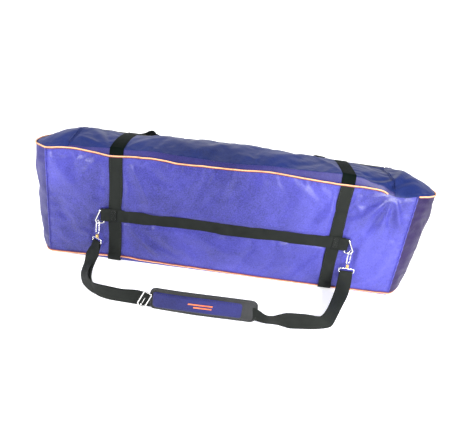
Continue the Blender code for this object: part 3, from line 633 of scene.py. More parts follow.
# The wall's columns, and where its four corners fall among them.
FRONT_COLUMNS, END_COLUMNS, BACK_COLUMNS = 201, 53, 151
RIGHT_FRONT = FRONT_COLUMNS - 1
RIGHT_REAR = RIGHT_FRONT + END_COLUMNS - 1
LEFT_REAR = RIGHT_REAR + BACK_COLUMNS - 1
LEFT_FRONT = LEFT_REAR + END_COLUMNS - 1


def wall_skin():
    """The whole wall as one grid; columns run round the case from the left front seam."""
    front = [("front", x, -HALF_Y) for x in np.linspace(-SEAM_X, SEAM_X, FRONT_COLUMNS)]
    sweep = np.linspace(-1, 1, END_COLUMNS)
    right = [("right", a, 0.0) for a in sweep[1:-1]]
    back = [("back", x, HALF_Y) for x in np.linspace(SEAM_X, -SEAM_X, BACK_COLUMNS)]
    left = [("left", a, 0.0) for a in sweep[1:-1]]
    columns = front + right + back + left
    levels = np.linspace(0, 1, 62)
    rest = np.zeros((len(levels), len(columns), 3))
    out = np.zeros_like(rest)
    proud = np.zeros(rest.shape[:2])
    kinds = np.array([c[0] for c in columns])
    for j, (kind, a, b) in enumerate(columns):
        if kind in ("front", "back"):
            side = -1 if kind == "front" else 1
            x, y = np.full(len(levels), a), np.full(len(levels), b)
            z = lower_edge(a, b) + (upper_edge(a, b) - lower_edge(a, b)) * levels
            normal = np.tile((0.0, side, 0.0), (len(levels), 1))
            height = front_shape(x, z) if side < 0 else back_shape(x, z)
        else:
            side = 1 if kind == "right" else -1
            low, high = corner_heights(side, a)
            z = low + (high - low) * levels
            radius = end_radius(end_bulge(side, z))
            angle = a * np.arcsin(HALF_Y / radius)
            centre = SEAM_X + end_bulge(side, z) - radius
            x, y = side * (centre + radius * np.cos(angle)), side * radius * np.sin(angle)
            normal = np.stack([side * np.cos(angle), side * np.sin(angle), 0 * angle], 1)
            height = end_shape(side, y, z, levels)
        rest[:, j] = np.stack([x, y, z], 1)
        out[:, j] = normal
        rest[:, j] += normal * height[:, None]
        proud[:, j] = height
    return rest, out, kinds, proud


def corner_heights(side, a):
    """Heights of the lower and upper edge at a share of an end, from -1 to 1."""
    x = side * (SEAM_X + (0.06 * (1 - a * a)))
    y = side * a * HALF_Y
    return float(lower_edge(x, y)), float(upper_edge(x, y))


def back_shape(x, z):
    level = np.clip((z - WALL_BOTTOM) / (WALL_TOP - WALL_BOTTOM), 0, 1)
    hem = step(0.0, 0.09, level) * step(0.0, 0.07, 1 - level)
    upright = beside_straps(x)
    seams = step(0.0, 0.018, SEAM_X - np.abs(x))
    small = 0.0010 * ripple(x, z, 0.09, 21) + 0.0005 * ripple(x, z, 0.036, 22)
    out = 0.0045 * np.sin(np.pi * level) ** 0.6 + strokes(x, z, BACK_FOLDS) + small
    return above_foam(out * hem * upright * (0.2 + 0.8 * seams))


def end_shape(side, y, z, level):
    hem = step(0.0, 0.09, level) * step(0.0, 0.07, 1 - level) * step(0.0, 0.015, HALF_Y - np.abs(y))
    small = 0.0012 * ripple(y, z, 0.07, 31 + side) + 0.0006 * ripple(y, z, 0.03, 33 + side)
    return above_foam((0.0015 + strokes(side * y, z, END_FOLDS) + small) * hem)


def top_height(x, y):
    """Height of the top's fabric over a point of the plan."""
    side = np.sign(x)
    bulge = np.where(side < 0, FULL_BULGE[-1], FULL_BULGE[1])
    radius = end_radius(bulge)
    end_here = SEAM_X + bulge - radius + np.sqrt(np.maximum(radius ** 2 - y ** 2, 0))
    short = (SEAM_X + bulge - end_here) * step(0.30, 0.50, np.abs(x))
    along = x + side * short
    edge = upper_edge(x, y)
    crease = through(BAND_HEIGHT, along) * step(HALF_Y, -HALF_Y, y) + 0.013 * step(-HALF_Y, HALF_Y, y)
    crest = through(CREST, along)
    share = np.abs(y) / CREASE_Y
    inner = crest - np.maximum(crest - edge - crease, 0.0) * np.minimum(share, 1) ** CREST_POWER
    band = np.clip((HALF_Y - np.abs(y)) / (HALF_Y - CREASE_Y), 0, 1) ** 0.8
    outer = edge + (np.minimum(crease, np.maximum(crest - edge, 0))) * band
    height = np.where(share < 1, inner, outer)
    level = np.exp(-((y - ZIP_Y) / 0.017) ** 4) * step(0.500, 0.470, np.abs(x))
    return height + (ZIP_HEIGHT - height) * level


TOP_FOLDS = [
    (-0.345, -0.085, -0.420, 0.020, 0.010, 0.0040), (-0.345, -0.060, -0.400, 0.060, 0.009, -0.0036),
    (-0.350, -0.092, -0.440, -0.050, 0.008, 0.0036), (-0.480, -0.070, -0.400, 0.040, 0.014, 0.0034),
    (-0.280, -0.080, -0.180, 0.020, 0.012, 0.0032), (-0.270, -0.030, -0.150, 0.040, 0.012, -0.0030),
    (-0.120, -0.080, 0.000, 0.000, 0.016, 0.0030), (-0.050, -0.085, 0.080, -0.020, 0.014, -0.0026),
    (0.080, -0.080, 0.200, 0.010, 0.015, 0.0030), (0.160, -0.085, 0.275, -0.020, 0.012, -0.0030),
    (0.290, -0.080, 0.230, 0.020, 0.010, 0.0034), (0.350, -0.070, 0.420, 0.000, 0.010, 0.0040),
    (0.370, -0.090, 0.440, -0.055, 0.008, -0.0048), (0.400, -0.095, 0.480, -0.030, 0.009, 0.0046),
    (0.425, -0.090, 0.520, -0.040, 0.008, -0.0046), (0.440, -0.080, 0.500, 0.030, 0.010, 0.0044),
    (0.455, -0.060, 0.540, 0.020, 0.010, -0.0040), (0.380, -0.040, 0.480, 0.060, 0.014, -0.0034),
    (-0.440, 0.040, -0.360, 0.080, 0.012, 0.0026), (0.100, 0.070, 0.200, 0.090, 0.010, 0.0020),
]
TOP_Y = np.concatenate([-HALF_Y + (HALF_Y - CREASE_Y) * np.linspace(0, 1, 5)[:-1],
                        np.linspace(-CREASE_Y, ZIP_Y - ZIP_HALF, 40)[:-1],
                        np.array([ZIP_Y - ZIP_HALF, ZIP_Y - 0.0006, ZIP_Y + 0.0006, ZIP_Y + ZIP_HALF]),
                        np.linspace(ZIP_Y + ZIP_HALF, HALF_Y, 14)[1:]])


CREASE_ROW = 4                        # row of TOP_Y at the front crease
CAP_COLUMNS = 24                      # columns of the top past each end of the lid
INNER_X = np.linspace(-LID_HALF, LID_HALF, 177)
LID_END = CAP_COLUMNS + len(INNER_X)
LID_COLUMNS = slice(CAP_COLUMNS, LID_END)


def top_skin():
    """The whole top as one grid, rows from the front seam to the back, columns along X."""
    share = np.linspace(0, 1, CAP_COLUMNS + 1)[1:]
    points = []
    for y in TOP_Y:
        ends = []
        for side, bulge in FULL_BULGE.items():
            radius = end_radius(bulge)
            reach = SEAM_X + bulge - radius + math.sqrt(radius ** 2 - y ** 2)
            ends.append(side * (LID_HALF + (reach - LID_HALF) * share))
        x = np.concatenate([ends[0][::-1], INNER_X, ends[1]])
        points.append(np.stack([x, np.full_like(x, y), top_height(x, np.full_like(x, y))], 1))
    points = np.array(points)
    normal = normals_of(points)
    x, y = points[..., 0], points[..., 1]
    edge = np.minimum(HALF_Y - np.abs(y), 0.6 * np.minimum(x - x[:, :1], x[:, -1:] - x))
    free = step(0.0, 0.012, edge) * beside_straps(x)
    free = free * (1 - 0.9 * np.exp(-((y - ZIP_Y) / 0.010) ** 4))
    small = 0.0008 * ripple(x, y, 0.075, 41) + 0.0005 * ripple(x, y, 0.030, 42)
    height = (0.85 * strokes(x, y, TOP_FOLDS) + small) * free
    return points + normal * height[..., None]


# ---------------------------------------------------------------- cloth


def wrinkle(points, outward, pinned, growth, limit, closed, pressure=0.0, frames=20):
    """Let a pinned sheet settle as cloth a little larger than its frame; returns the new points."""
    mesh = grid("wrinkling", points, closed_rows=closed)
    obj = bpy.data.objects.new("wrinkling", mesh)
    bpy.context.scene.collection.objects.link(obj)
    group = obj.vertex_groups.new(name="sewn")
    group.add([int(i) for i in np.flatnonzero(pinned.ravel())], 1.0, "REPLACE")
    cloth = obj.modifiers.new("Cloth", "CLOTH")
    settings = cloth.settings
    settings.quality = 6
    settings.mass = 0.2
    settings.tension_stiffness = settings.compression_stiffness = 18
    settings.shear_stiffness = 8
    settings.bending_stiffness = 0.6
    settings.air_damping = 2.0
    settings.vertex_group_mass = "sewn"
    settings.shrink_min = -growth
    settings.effector_weights.gravity = 0.0
    settings.use_pressure = pressure != 0.0
    settings.uniform_pressure_force = pressure
    cloth.collision_settings.use_collision = False
    scene = bpy.context.scene
    cloth.point_cache.frame_start = 1
    cloth.point_cache.frame_end = frames
    for number in range(1, frames + 1):
        scene.frame_set(number)
    depsgraph = bpy.context.evaluated_depsgraph_get()
    moved = np.zeros(points.size, np.float32)
    obj.evaluated_get(depsgraph).data.vertices.foreach_get("co", moved)
    bpy.data.objects.remove(obj, do_unlink=True)
    scene.frame_set(1)
    change = moved.reshape(points.shape) - points
    out = (change * outward).sum(-1)
    low, high = limit
    soft = np.where(out > 0, high * np.tanh(out / np.maximum(high, 1e-6)), -low * np.tanh(-out / low))
    return points + outward * soft[..., None] + 0.5 * (change - outward * out[..., None])


# ---------------------------------------------------------------- skins


def piece_from(name, points, look, body=None, levels=0, thickness=0.0):
    obj = new_object(name, grid(name, points), look, body)
    if thickness:
        thicken(obj, thickness)
    if levels:
        subdivide(obj, levels)
    return obj


def make_walls():
    """Front, back and end skins from one simulated sheet."""
    points, outward, kinds, proud = wall_skin()
    x, y = points[..., 0], points[..., 1]
    flat = (kinds == "front") | (kinds == "back")
    pinned = np.zeros(x.shape, bool)
    pinned[[0, -1]] = True
    pinned |= flat[None, :] & ((np.abs(np.abs(x) - STRAP_X) < 0.017) | (np.abs(x) > SEAM_X - 0.002))
    under = np.abs(points[..., 2] - cross_height(x)) < 0.022
    covered = under & (y < -HALF_Y + 0.01) & (np.abs(x) < RING_BAR_X + 0.01)
    by_hook = (np.abs(np.abs(x) - HOOK_X) < 0.022) & (np.abs(points[..., 2] - HOOK_Z) < 0.045)
    high = np.where(covered | (by_hook & (y < 0)), 0.0006, 0.0048)
    high[:, ~flat] = 0.0012
    high[1] = high[-2] = 0.002
    low = np.maximum(proud + 0.0012, 0.0001)
    low[:, ~flat] = 0.0012
    points = wrinkle(points, outward, pinned, 0.024, (low, high), True, 0.35)
    left_end = [*range(LEFT_REAR, LEFT_FRONT), 0]
    # Painted shade: the right end takes the darkest copy of the violet nylon and the left end a darker one;
    # front and back take the plain violet nylon.
    spans = {"front_skin": (range(RIGHT_FRONT + 1), "fabric_blue", "front_panel"),
             "right_end_skin": (range(RIGHT_FRONT, RIGHT_REAR + 1), "fabric_painted_deep_shade", "right_end_panel"),
             "back_skin": (range(RIGHT_REAR, LEFT_REAR + 1), "fabric_blue", "back_panel"),
             "left_end_skin": (left_end, "fabric_painted_shade", "left_end_panel")}
    for name, (columns, look, node) in spans.items():
        skin = piece_from(name, points[:, list(columns)], look, "case", levels=1)
        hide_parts(node)
    for label, first, last, thick in (("right", RIGHT_FRONT, RIGHT_REAR, 0.0040),
                                      ("left", LEFT_REAR, LEFT_FRONT, 0.0016)):
        middle = (slice(3, 58), slice(first + 5, last - 4))
        inside = points[middle] - outward[middle] * (0.0012 + thick / 2)
        pad = piece_from(label + "_end_foam_pad", inside, "foam", "case", thickness=thick)
        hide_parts(label + "_end_foam")
    return points


def seam_ridges(points):
    """Sewn corner seams: a folded welt and its row of stitches."""
    for name, column, side in (("left_front_seam", 0, -1), ("right_front_seam", RIGHT_FRONT, 1)):
        path = points[:, column] + np.array([side * 0.0004, -0.0006, 0.0])
        z = path[:, 2]
        puff = 1 + 0.22 * np.sin(z * 2 * math.pi / 0.021) + 0.1 * np.sin(z * 2 * math.pi / 0.0093)
        tube(name, path, 0.0019, "fabric_blue", "case", squeeze=puff)
        row = path[2:-2:4] + np.array([-side * 0.0045, -0.0012, 0.0])
        stitches(name + "_stitching", [(row.tolist(), (0, -1, 0))], "case", "violet_thread")
    for name, column, side in (("right_rear_seam", RIGHT_REAR, 1), ("left_rear_seam", LEFT_REAR, -1)):
        path = points[:, column] + np.array([side * 0.0004, 0.0006, 0.0])
        tube(name, path, 0.0018, "fabric_blue", "case")


LID_ROW = int(np.argmin(np.abs(TOP_Y - (ZIP_Y - ZIP_HALF))))
REAR_ROW = int(np.argmin(np.abs(TOP_Y - (ZIP_Y + ZIP_HALF))))


def make_top():
    points = top_skin()
    x, y = points[..., 0], points[..., 1]
    pinned = np.zeros(x.shape, bool)
    pinned[:CREASE_ROW + 1] = True
    pinned[-1] = True
    pinned[:, [0, 1, -2, -1]] = True
    pinned |= np.abs(np.abs(x) - STRAP_X) < 0.017
    pinned |= np.abs(y - ZIP_Y) < 0.008
    limit = np.full(x.shape, 0.0026)
    points = wrinkle(points, normals_of(points), pinned, 0.011, (limit, limit), False, 0.12)
    # Painted shade: the front band and the lid take darker copies of the violet nylon.
    for name, rows, look, node in (("front_band_skin", slice(CREASE_ROW + 1), "fabric_painted_shade", "top_front_band"),
                                   ("lid_skin", slice(CREASE_ROW, LID_ROW + 1), "fabric_top", "lid_panel")):
        skin = piece_from(name, points[rows, LID_COLUMNS], look, thickness=0.0012, levels=1)
        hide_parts(node)
        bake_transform(skin)
    inside = points[CREASE_ROW + 5:LID_ROW - 2, CAP_COLUMNS + 5:LID_END - 5]
    inward = normals_of(inside)
    foam = piece_from("lid_foam_pad", inside - inward * 0.0028, "foam", "lid", thickness=0.0045)
    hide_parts("lid_foam")
    lining = piece_from("lid_lining_sheet", inside - inward * 0.0082, "lining", "lid", thickness=0.0008)
    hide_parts("lid_lining")
    # The rear band, the end caps and the end zip halves take the top's nylon, darkened with painted shade.
    rear = piece_from("rear_band_skin", points[REAR_ROW:, LID_COLUMNS], "fabric_top", "case", 1, 0.0012)
    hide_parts("top_rear_band")
    for name, columns, node in (("left_cap_skin", slice(CAP_COLUMNS + 1), "left_end_cap"),
                                ("right_cap_skin", slice(LID_END - 1, None), "right_end_cap")):
        cap = piece_from(name, points[:, columns], "fabric_top", "case", 1, 0.0012)
        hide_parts(node)
    return points


def on_top(points, x, y, lift=0.0):
    """Point on the finished top's fabric, raised by lift."""
    inner = points[:, LID_COLUMNS]
    row = float(np.interp(y, TOP_Y, np.arange(len(TOP_Y))))
    column = float(np.interp(x, INNER_X, np.arange(len(INNER_X))))
    i, j = min(int(row), len(TOP_Y) - 2), min(int(column), len(INNER_X) - 2)
    s, t = row - i, column - j
    z = ((1 - s) * ((1 - t) * inner[i, j, 2] + t * inner[i, j + 1, 2])
         + s * ((1 - t) * inner[i + 1, j, 2] + t * inner[i + 1, j + 1, 2]))
    slope = (inner[i + 1, j, 2] - inner[i, j, 2]) / (inner[i + 1, j, 1] - inner[i, j, 1])
    normal = np.array([0.0, -slope, 1.0]) / math.hypot(1.0, slope)
    return np.array([x, y, z]) + normal * lift


def make_bottom():
    """Underside: a flat sheet that curls up to the lower edge."""
    shares = [1.0, 0.992, 0.975, 0.94, 0.86, 0.70, 0.50, 0.30, 0.12]
    heights = [None, 0.0040, 0.0012, 0.0024, 0.0026, 0.0025, 0.0024, 0.0026, 0.0025]
    ring = edge_ring(lower_edge, 0.0, 0.0)
    rows = []
    for share, height in zip(shares, heights):
        row = ring * np.array([share ** 0.35 if share > 0.9 else share, share, 1.0])
        if height is not None:
            row[:, 2] = height + 0.0004 * ripple(row[:, 0], row[:, 1], 0.09, 51)
        rows.append(row)
    mesh = grid("bottom_skin", np.array(rows)[::-1], closed_rows=True)
    bm = opened(mesh)
    bm.faces.new([bm.verts[i] for i in reversed(range(len(ring)))])
    put_back(bm, mesh)
    skin = new_object("bottom_skin", mesh, "fabric_blue", "case")
    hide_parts("bottom_panel")


def edge_ring(edge, z, out, count_front=120, count_end=30):
    """Points round the case along a sewn edge, moved out by out."""
    ring = []
    for x in np.linspace(-SEAM_X, SEAM_X, count_front, endpoint=False):
        ring.append((x, -HALF_Y - out, float(edge(x, -HALF_Y))))
    ring += end_ring(1, edge, z, out, count_end)
    for x in np.linspace(SEAM_X, -SEAM_X, count_front, endpoint=False):
        ring.append((x, HALF_Y + out, float(edge(x, HALF_Y))))
    ring += end_ring(-1, edge, z, out, count_end)
    return np.array(ring)


def end_ring(side, edge, z, out, count):
    bulge = float(end_bulge(side, z))
    radius = end_radius(bulge)
    sweep = math.asin(HALF_Y / radius)
    centre = SEAM_X + bulge - radius
    points = []
    for a in np.linspace(-1, 1, count, endpoint=False):
        low, high = corner_heights(side, a)
        height = low if edge is lower_edge else high
        angle = a * sweep
        points.append((side * (centre + (radius + out) * math.cos(angle)),
                       side * (radius + out) * math.sin(angle), height))
    return points


def tucked(ring, upper):
    """The piping sinks under the collapsed right corner, and under both ends at the floor."""
    x, y = ring[:, 0], ring[:, 1]
    if upper:
        sink = step(0.412, 0.428, x) * step(0.512, 0.500, x) * (y < 0)
        ring[:, 1] += 0.0075 * sink
        ring[:, 2] -= 0.0020 * sink
    else:
        under = step(SEAM_X + 0.004, SEAM_X + 0.030, np.abs(x))
        ring[:, :2] *= 1 - 0.0050 * under[:, None] / np.hypot(x, y)[:, None]
        ring[:, 2] -= 0.0040 * under
    return ring


def make_piping():
    """Corded piping and its stitched flange in the two long seams; the flange's dark maroon is partly tape and
    partly painted shade along the cord.
    """
    for name, edge, z, node, tilt, share in (
            ("upper_piping_cord", upper_edge, 0.3, "upper_piping", -1, 0.82),
            ("lower_piping_cord", lower_edge, 0.0, "lower_piping", 1, 0.62)):
        ring = edge_ring(edge, z, PIPING_RADIUS + 0.0006, 240, 44)
        ring = tucked(ring, edge is upper_edge)
        wave = 0.0006 * ripple(ring[:, 0] + ring[:, 1], ring[:, 1], 0.06, 61)
        ring[:, 2] = np.maximum(ring[:, 2] + wave, PIPING_RADIUS + 0.0004)
        cord = tube(name, ring, share * PIPING_RADIUS, "piping", "case", closed=True, sides=12)
        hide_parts(node)
        flange_painted_shade = ring.copy()
        flange_painted_shade[:, 2] += tilt * (PIPING_RADIUS + 0.0004)
        flange_painted_shade[:, 1] -= np.sign(flange_painted_shade[:, 1]) * 0.0008
        tube(name.replace("cord", "flange_painted_shade"), flange_painted_shade, 0.0015, "flange_painted_shade", "case", closed=True, sides=8)


# ---------------------------------------------------------------- webbing on the case


def strap_on_top(top, name, x, start, end, count, body=None):
    """Webbing laid on the top's fabric, across the case, in the darker webbing copy that is painted shade."""
    over = [on_top(top, x, y, 0.0015) for y in np.linspace(start, end, count)]
    across = np.tile((WEB_WIDTH, 0.0, 0.0), (count, 1))
    return webbing(name, over, across, look="crown_webbing_painted_shade", body=body)


def make_body_straps(top):
    """Webbing under and up the case, then over the lid and behind the zip."""
    face = HALF_Y + LAYER_GAP + WEB_THICK / 2
    for label, side in SIDES:
        x = side * STRAP_X
        high = float(upper_edge(x, -HALF_Y)) - 0.0012
        half = [(0.0, WEB_THICK / 2), (0.06, WEB_THICK / 2), (face - 0.004, WEB_THICK / 2),
                (face + 0.0025, 0.0026), (face + 0.0047, 0.0075), (face + 0.0047, 0.0140),
                (face + 0.0010, 0.0210), (face, 0.0300), (face, 0.10), (face, 0.20), (face, high)]
        back_high = float(upper_edge(x, HALF_Y)) - 0.0012
        path = [(-y, z) for y, z in reversed(half)] + half[1:-1] + [(face, back_high)]
        stations = smooth_path([(x, y, z) for y, z in path], 150)
        wander = 0.0010 * np.sin(stations[:, 2] * 40 + side)
        stations[:, 0] += wander
        across = np.tile((WEB_WIDTH, 0.0, 0.0), (len(stations), 1))
        strap = webbing(f"{label}_strap_round_case", stations, across, body="case")
        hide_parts(f"{label}_body_strap")
        lines = []
        for dx in (-0.0150, 0.0150):
            for heights in ((high - 0.004, 0.24, 0.172), (0.118, 0.07, 0.032)):
                lines.append(([(x + dx, -face - 0.0008, z) for z in heights], (0, -1, 0)))
        stitches(f"{label}_strap_stitching", lines, "case")
        strap = strap_on_top(top, f"{label}_strap_over_lid", x, -0.1046, ZIP_Y - ZIP_HALF - 0.0005, 44)
        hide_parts(f"{label}_band_strap", f"{label}_lid_strap")
        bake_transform(strap)
        strap = strap_on_top(top, f"{label}_strap_behind_zip", x,
                             ZIP_Y + ZIP_HALF + 0.0005, 0.1046, 22, "case")
        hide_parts(f"{label}_rear_strap")


def make_cross_strap():
    """Webbing across the front; each end loops round a ring's bar and is sewn down."""
    middle = -HALF_Y - LAYER_GAP - WEB_THICK - LAYER_GAP - WEB_THICK / 2
    turn = 0.0032
    bar = RING_BAR_X + 0.0027
    loop = [(0.3060, middle - WEB_THICK - LAYER_GAP), (0.3180, middle - WEB_THICK - LAYER_GAP),
            (0.3270, middle - 2 * turn + 0.0012), (0.3340, middle - 2 * turn), (bar, middle - 2 * turn)]
    loop += [(bar + turn * math.sin(a), middle - turn - turn * math.cos(a))
             for a in np.radians((30, 60, 90, 120, 150))]
    loop += [(bar, middle), (0.3290, middle), (0.3000, middle), (0.2800, middle + 0.0006)]
    left = [(-x, y) for x, y in loop]
    slack = [(x, middle + 0.0012) for x in (-0.24, -0.16, -0.08, 0.0, 0.08, 0.16, 0.24)]
    path = np.array(left + slack + loop[::-1])
    z = cross_height(path[:, 0]) - 0.0012 * np.cos(path[:, 0] * math.pi / 0.62)
    stations = smooth_path(np.column_stack([path, z]), 420)
    lean = 0.0008 * ripple(stations[:, 0], 0 * stations[:, 0], 0.16, 71)
    inner = np.abs(stations[:, 0]) < 0.27
    stations[:, 1] -= np.where(inner, 0.0004 * (1 + ripple(stations[:, 0], 0 * stations[:, 0], 0.12, 72)), 0)
    across = np.column_stack([0 * lean, np.where(inner, lean, 0), np.full(len(lean), WEB_WIDTH)])
    strap = webbing("cross_strap_webbing", stations, across, body="case")
    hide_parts("cross_strap")
    lines = []
    outer = middle - WEB_THICK * 1.5 - 0.0006
    for side in (-1, 1):
        near, far = side * 0.3075, side * 0.3195
        z0 = float(cross_height(near))
        low, high = z0 - 0.0135, z0 + 0.0135
        frame_line = [(near, outer, low), (far, outer, low), (far, outer, high), (near, outer, high)]
        for a, b in zip(frame_line, frame_line[1:] + frame_line[:1]):
            lines.append(([a, b], (0, -1, 0)))
        lines.append(([frame_line[0], frame_line[2]], (0, -1, 0)))
        lines.append(([frame_line[1], frame_line[3]], (0, -1, 0)))
    stitches("cross_strap_stitching", lines, "case")


# ---------------------------------------------------------------- zip


def make_zip(top):
    rows = {"zip_lid_half": (ZIP_Y - ZIP_HALF - 0.001, ZIP_Y - 0.0016, "lid", "zip_lid_tape", -1),
            "zip_rear_half": (ZIP_Y + 0.0016, ZIP_Y + ZIP_HALF + 0.001, "case", "zip_rear_tape", 1)}
    for name, (low, high, body, node, side) in rows.items():
        points = np.array([[on_top(top, x, y, 0.0007) for x in INNER_X] for y in np.linspace(low, high, 4)])
        tape = piece_from(name, points, "zip_tape", body, thickness=0.0009)
        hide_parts(node)
        path = [on_top(top, x, ZIP_Y + side * 0.0011, 0.0008) for x in INNER_X]
        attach(coil_teeth(name + "_teeth", path), body)
    for label, side in SIDES:
        for part, offset, body in (("lid", -1, "lid"), ("case", 1, "case")):
            strip = []
            for share in (0.0011, 0.0045):
                x = side * (LID_HALF + (offset * share if part == "case" else -share))
                strip.append([lid_end_point(top, x, y) for y in np.linspace(-0.090, ZIP_Y - 0.002, 60)])
            order = strip if (x > 0) == (part == "case") else strip[::-1]
            points = np.array(order).transpose(1, 0, 2)
            piece_from(f"{label}_end_zip_{part}_half", points, "fabric_top", body, thickness=0.0008)
            teeth = [lid_end_point(top, side * LID_HALF, y) + np.array([side * offset * 0.0009, 0, 0])
                     for y in np.linspace(-0.090, ZIP_Y - 0.004, 60)]
            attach(coil_teeth(f"{label}_end_zip_{part}_teeth", teeth, "fabric_top", True), body)


def lid_end_point(top, x, y):
    """Point just above the fabric at an end of the lid."""
    inside = math.copysign(min(abs(x), LID_HALF - 0.001), x)
    point = on_top(top, inside, y, 0.0010)
    point[0] = x
    return point


def coil_teeth(name, path, look="zip_tape", along_y=False):
    """A row of small rounded teeth."""
    path = smooth_path(path, max(2, int(np.linalg.norm(np.array(path[-1]) - np.array(path[0])) / 0.0032)))
    mesh = bpy.data.meshes.new(name)
    bm = bmesh.new()
    size = (0.0016, 0.0011, 0.0006) if along_y else (0.0011, 0.0016, 0.0006)
    for point in path:
        place = Matrix.Translation(Vector(point)) @ Matrix.Diagonal((*size, 1.0))
        bmesh.ops.create_icosphere(bm, subdivisions=1, radius=1.0, matrix=place)
    bm.to_mesh(mesh)
    bm.free()
    return new_object(name, mesh, look)


def make_slider():
    """Zip slider with its bridge, and the pull tab that lies flat on the fabric."""
    x = LID_HALF + 0.010
    base = Vector((x, ZIP_Y + 0.0003, ZIP_HEIGHT + 0.0014))
    rows = []
    for share in np.linspace(0, 1, 17):
        along = -0.0065 + 0.013 * share
        half = 0.0046 - 0.0016 * abs(2 * share - 1) ** 2
        tall = 0.0016 * (1 - 0.5 * abs(2 * share - 1) ** 4)
        turn = np.linspace(0, 2 * math.pi, 20, endpoint=False)
        rows.append([(base.x + along, base.y + half * bulged(math.cos(a), 0.5),
                      base.z + tall * bulged(math.sin(a), 0.5)) for a in turn])
    slider = capped("zip_slider_body", np.array(rows), "nickel", "zip_slider")
    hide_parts("zip_slider")
    arch = [(base.x + 0.0040 * math.cos(a), base.y, base.z + 0.0012 + 0.0022 * math.sin(a))
            for a in np.linspace(0, math.pi, 13)]
    tube("zip_slider_bridge", arch, 0.0007, "nickel", "zip_slider")
    outline = rounded_outline(0.026, 0.0080, 0.0032, 60)
    hole = rounded_outline(0.006, 0.0030, 0.0014, 60)
    hole[:, 0] += 0.0085
    rings = []
    for ring, lift in ((hole, 0.0006), (outline * 0.96, 0.0006), (outline, 0.0003), (outline, -0.0003),
                       (outline * 0.96, -0.0006), (hole, -0.0006), (hole, 0.0006)):
        rings.append([(base.x + 0.0145 + px, base.y + pz, base.z + 0.0027 + lift) for px, _, pz in ring])
    mesh = grid("zip_pull", np.array(rings), closed_rows=True)
    bm = opened(mesh)
    bmesh.ops.remove_doubles(bm, verts=bm.verts, dist=1e-6)
    put_back(bm, mesh)
    pull = new_object("zip_pull", mesh, "nickel", "zip_pull", smooth=False)
    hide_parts("zip_pull_tab")


# ---------------------------------------------------------------- carry handle

HANDLE_WIDTH = 0.034
TAB_WIDTH = 0.031
GRIP_HALF = 0.075
GRIP_Z = 0.2640


def make_handle():
    """Webbing that hangs behind the case, its grip, and the tab folded at each end."""
    back = HALF_Y + 0.0107
    half = [(0.2640, 0.1000, 0.3420), (0.2600, 0.1085, 0.3370), (0.2560, 0.1135, 0.3260),
            (0.2500, back, 0.3080), (0.2400, back, 0.2900), (0.2230, back, 0.2770),
            (0.1950, back, 0.2690), (0.1500, back, 0.2655), (0.0700, back, 0.2640)]
    leans = [(1, 0.10, 0.05), (1, 0.05, 0.08), (1, 0.0, 0.15), (0.96, 0, 0.30), (0.80, 0, 0.60),
             (0.5, 0, 0.86), (0.2, 0, 0.98), (0.05, 0, 1), (0, 0, 1)]
    stations, across = [], []
    for side, order in ((-1, 1), (1, -1)):
        for (x, y, z), lean in zip(half[::order], leans[::order]):
            stations.append((side * x, y, z))
            turned = np.array((-side * lean[0], lean[1], lean[2]))
            across.append(turned / np.linalg.norm(lean) * HANDLE_WIDTH)
    path = smooth_path(np.hstack([np.array(stations), np.array(across)]), 260)
    strap = webbing("handle_webbing", path[:, :3], path[:, 3:], body="carry_handle")
    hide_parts("carry_handle_webbing")
    make_grip(back)
    raised = [((0.2960, 0.0745, 0.3405), (0.9, 0.30, -0.05)),
              ((0.2860, 0.0765, 0.3420), (0.75, 0.25, -0.45)),
              ((0.2740, 0.0800, 0.3435), (0.60, 0.20, -0.75)),
              ((0.2640, 0.0850, 0.3435), (0.60, 0.20, -0.75)),
              ((0.2620, 0.0915, 0.3425), (0.90, 0.15, -0.30)),
              ((0.2640, 0.0975, 0.3415), (1.0, 0.1, 0.0))]
    flat = [((0.3010, 0.0735, 0.3400), (0.9, 0.35, 0.0)), ((0.2900, 0.0750, 0.3400), (0.8, 0.5, 0.0)),
            ((0.2780, 0.0790, 0.3400), (0.75, 0.55, 0.0)), ((0.2680, 0.0850, 0.3400), (0.85, 0.45, 0.0)),
            ((0.2650, 0.0920, 0.3385), (1.0, 0.15, 0.0)), ((0.2645, 0.0970, 0.3370), (1.0, 0.1, 0.0))]
    for label, side, fold in (("left", -1, raised), ("right", 1, flat)):
        mirror = np.array([side, 1, 1])
        rows = np.array([(*(mirror * c), *(mirror * w * TAB_WIDTH)) for c, w in fold])
        path = smooth_path(rows, 50)
        tab = webbing(f"{label}_handle_tab_fold", path[:, :3], path[:, 3:], body="case", bow=0.0012)
        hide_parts(f"{label}_handle_tab")


def make_grip(back):
    """Padded sleeve round the middle of the handle, with its closing seam."""
    rings = []
    for x in np.linspace(-GRIP_HALF, GRIP_HALF, 61):
        end = 1 - 0.10 * abs(x / GRIP_HALF) ** 8
        dent = 1 - 0.03 * math.cos(x * 2 * math.pi / 0.05) ** 2
        ring = []
        for a in np.linspace(0, 2 * math.pi, 36, endpoint=False):
            y = bulged(math.cos(a), 0.8) * 0.0052 * end * dent
            z = bulged(math.sin(a), 0.55) * 0.0232 * end
            ring.append((x, back + y, GRIP_Z + z))
        rings.append(ring)
    grip = capped("handle_grip", np.array(rings), "pad_binding", "carry_handle")
    grip.data.set_sharp_from_angle(angle=math.radians(50))
    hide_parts("carry_handle_grip")
    seam = [(x, back + 0.0050, GRIP_Z) for x in (-0.070, 0.0, 0.070)]
    stitches("handle_grip_stitching", [(seam, (0, 1, 0))], "carry_handle")


# ---------------------------------------------------------------- shoulder strap

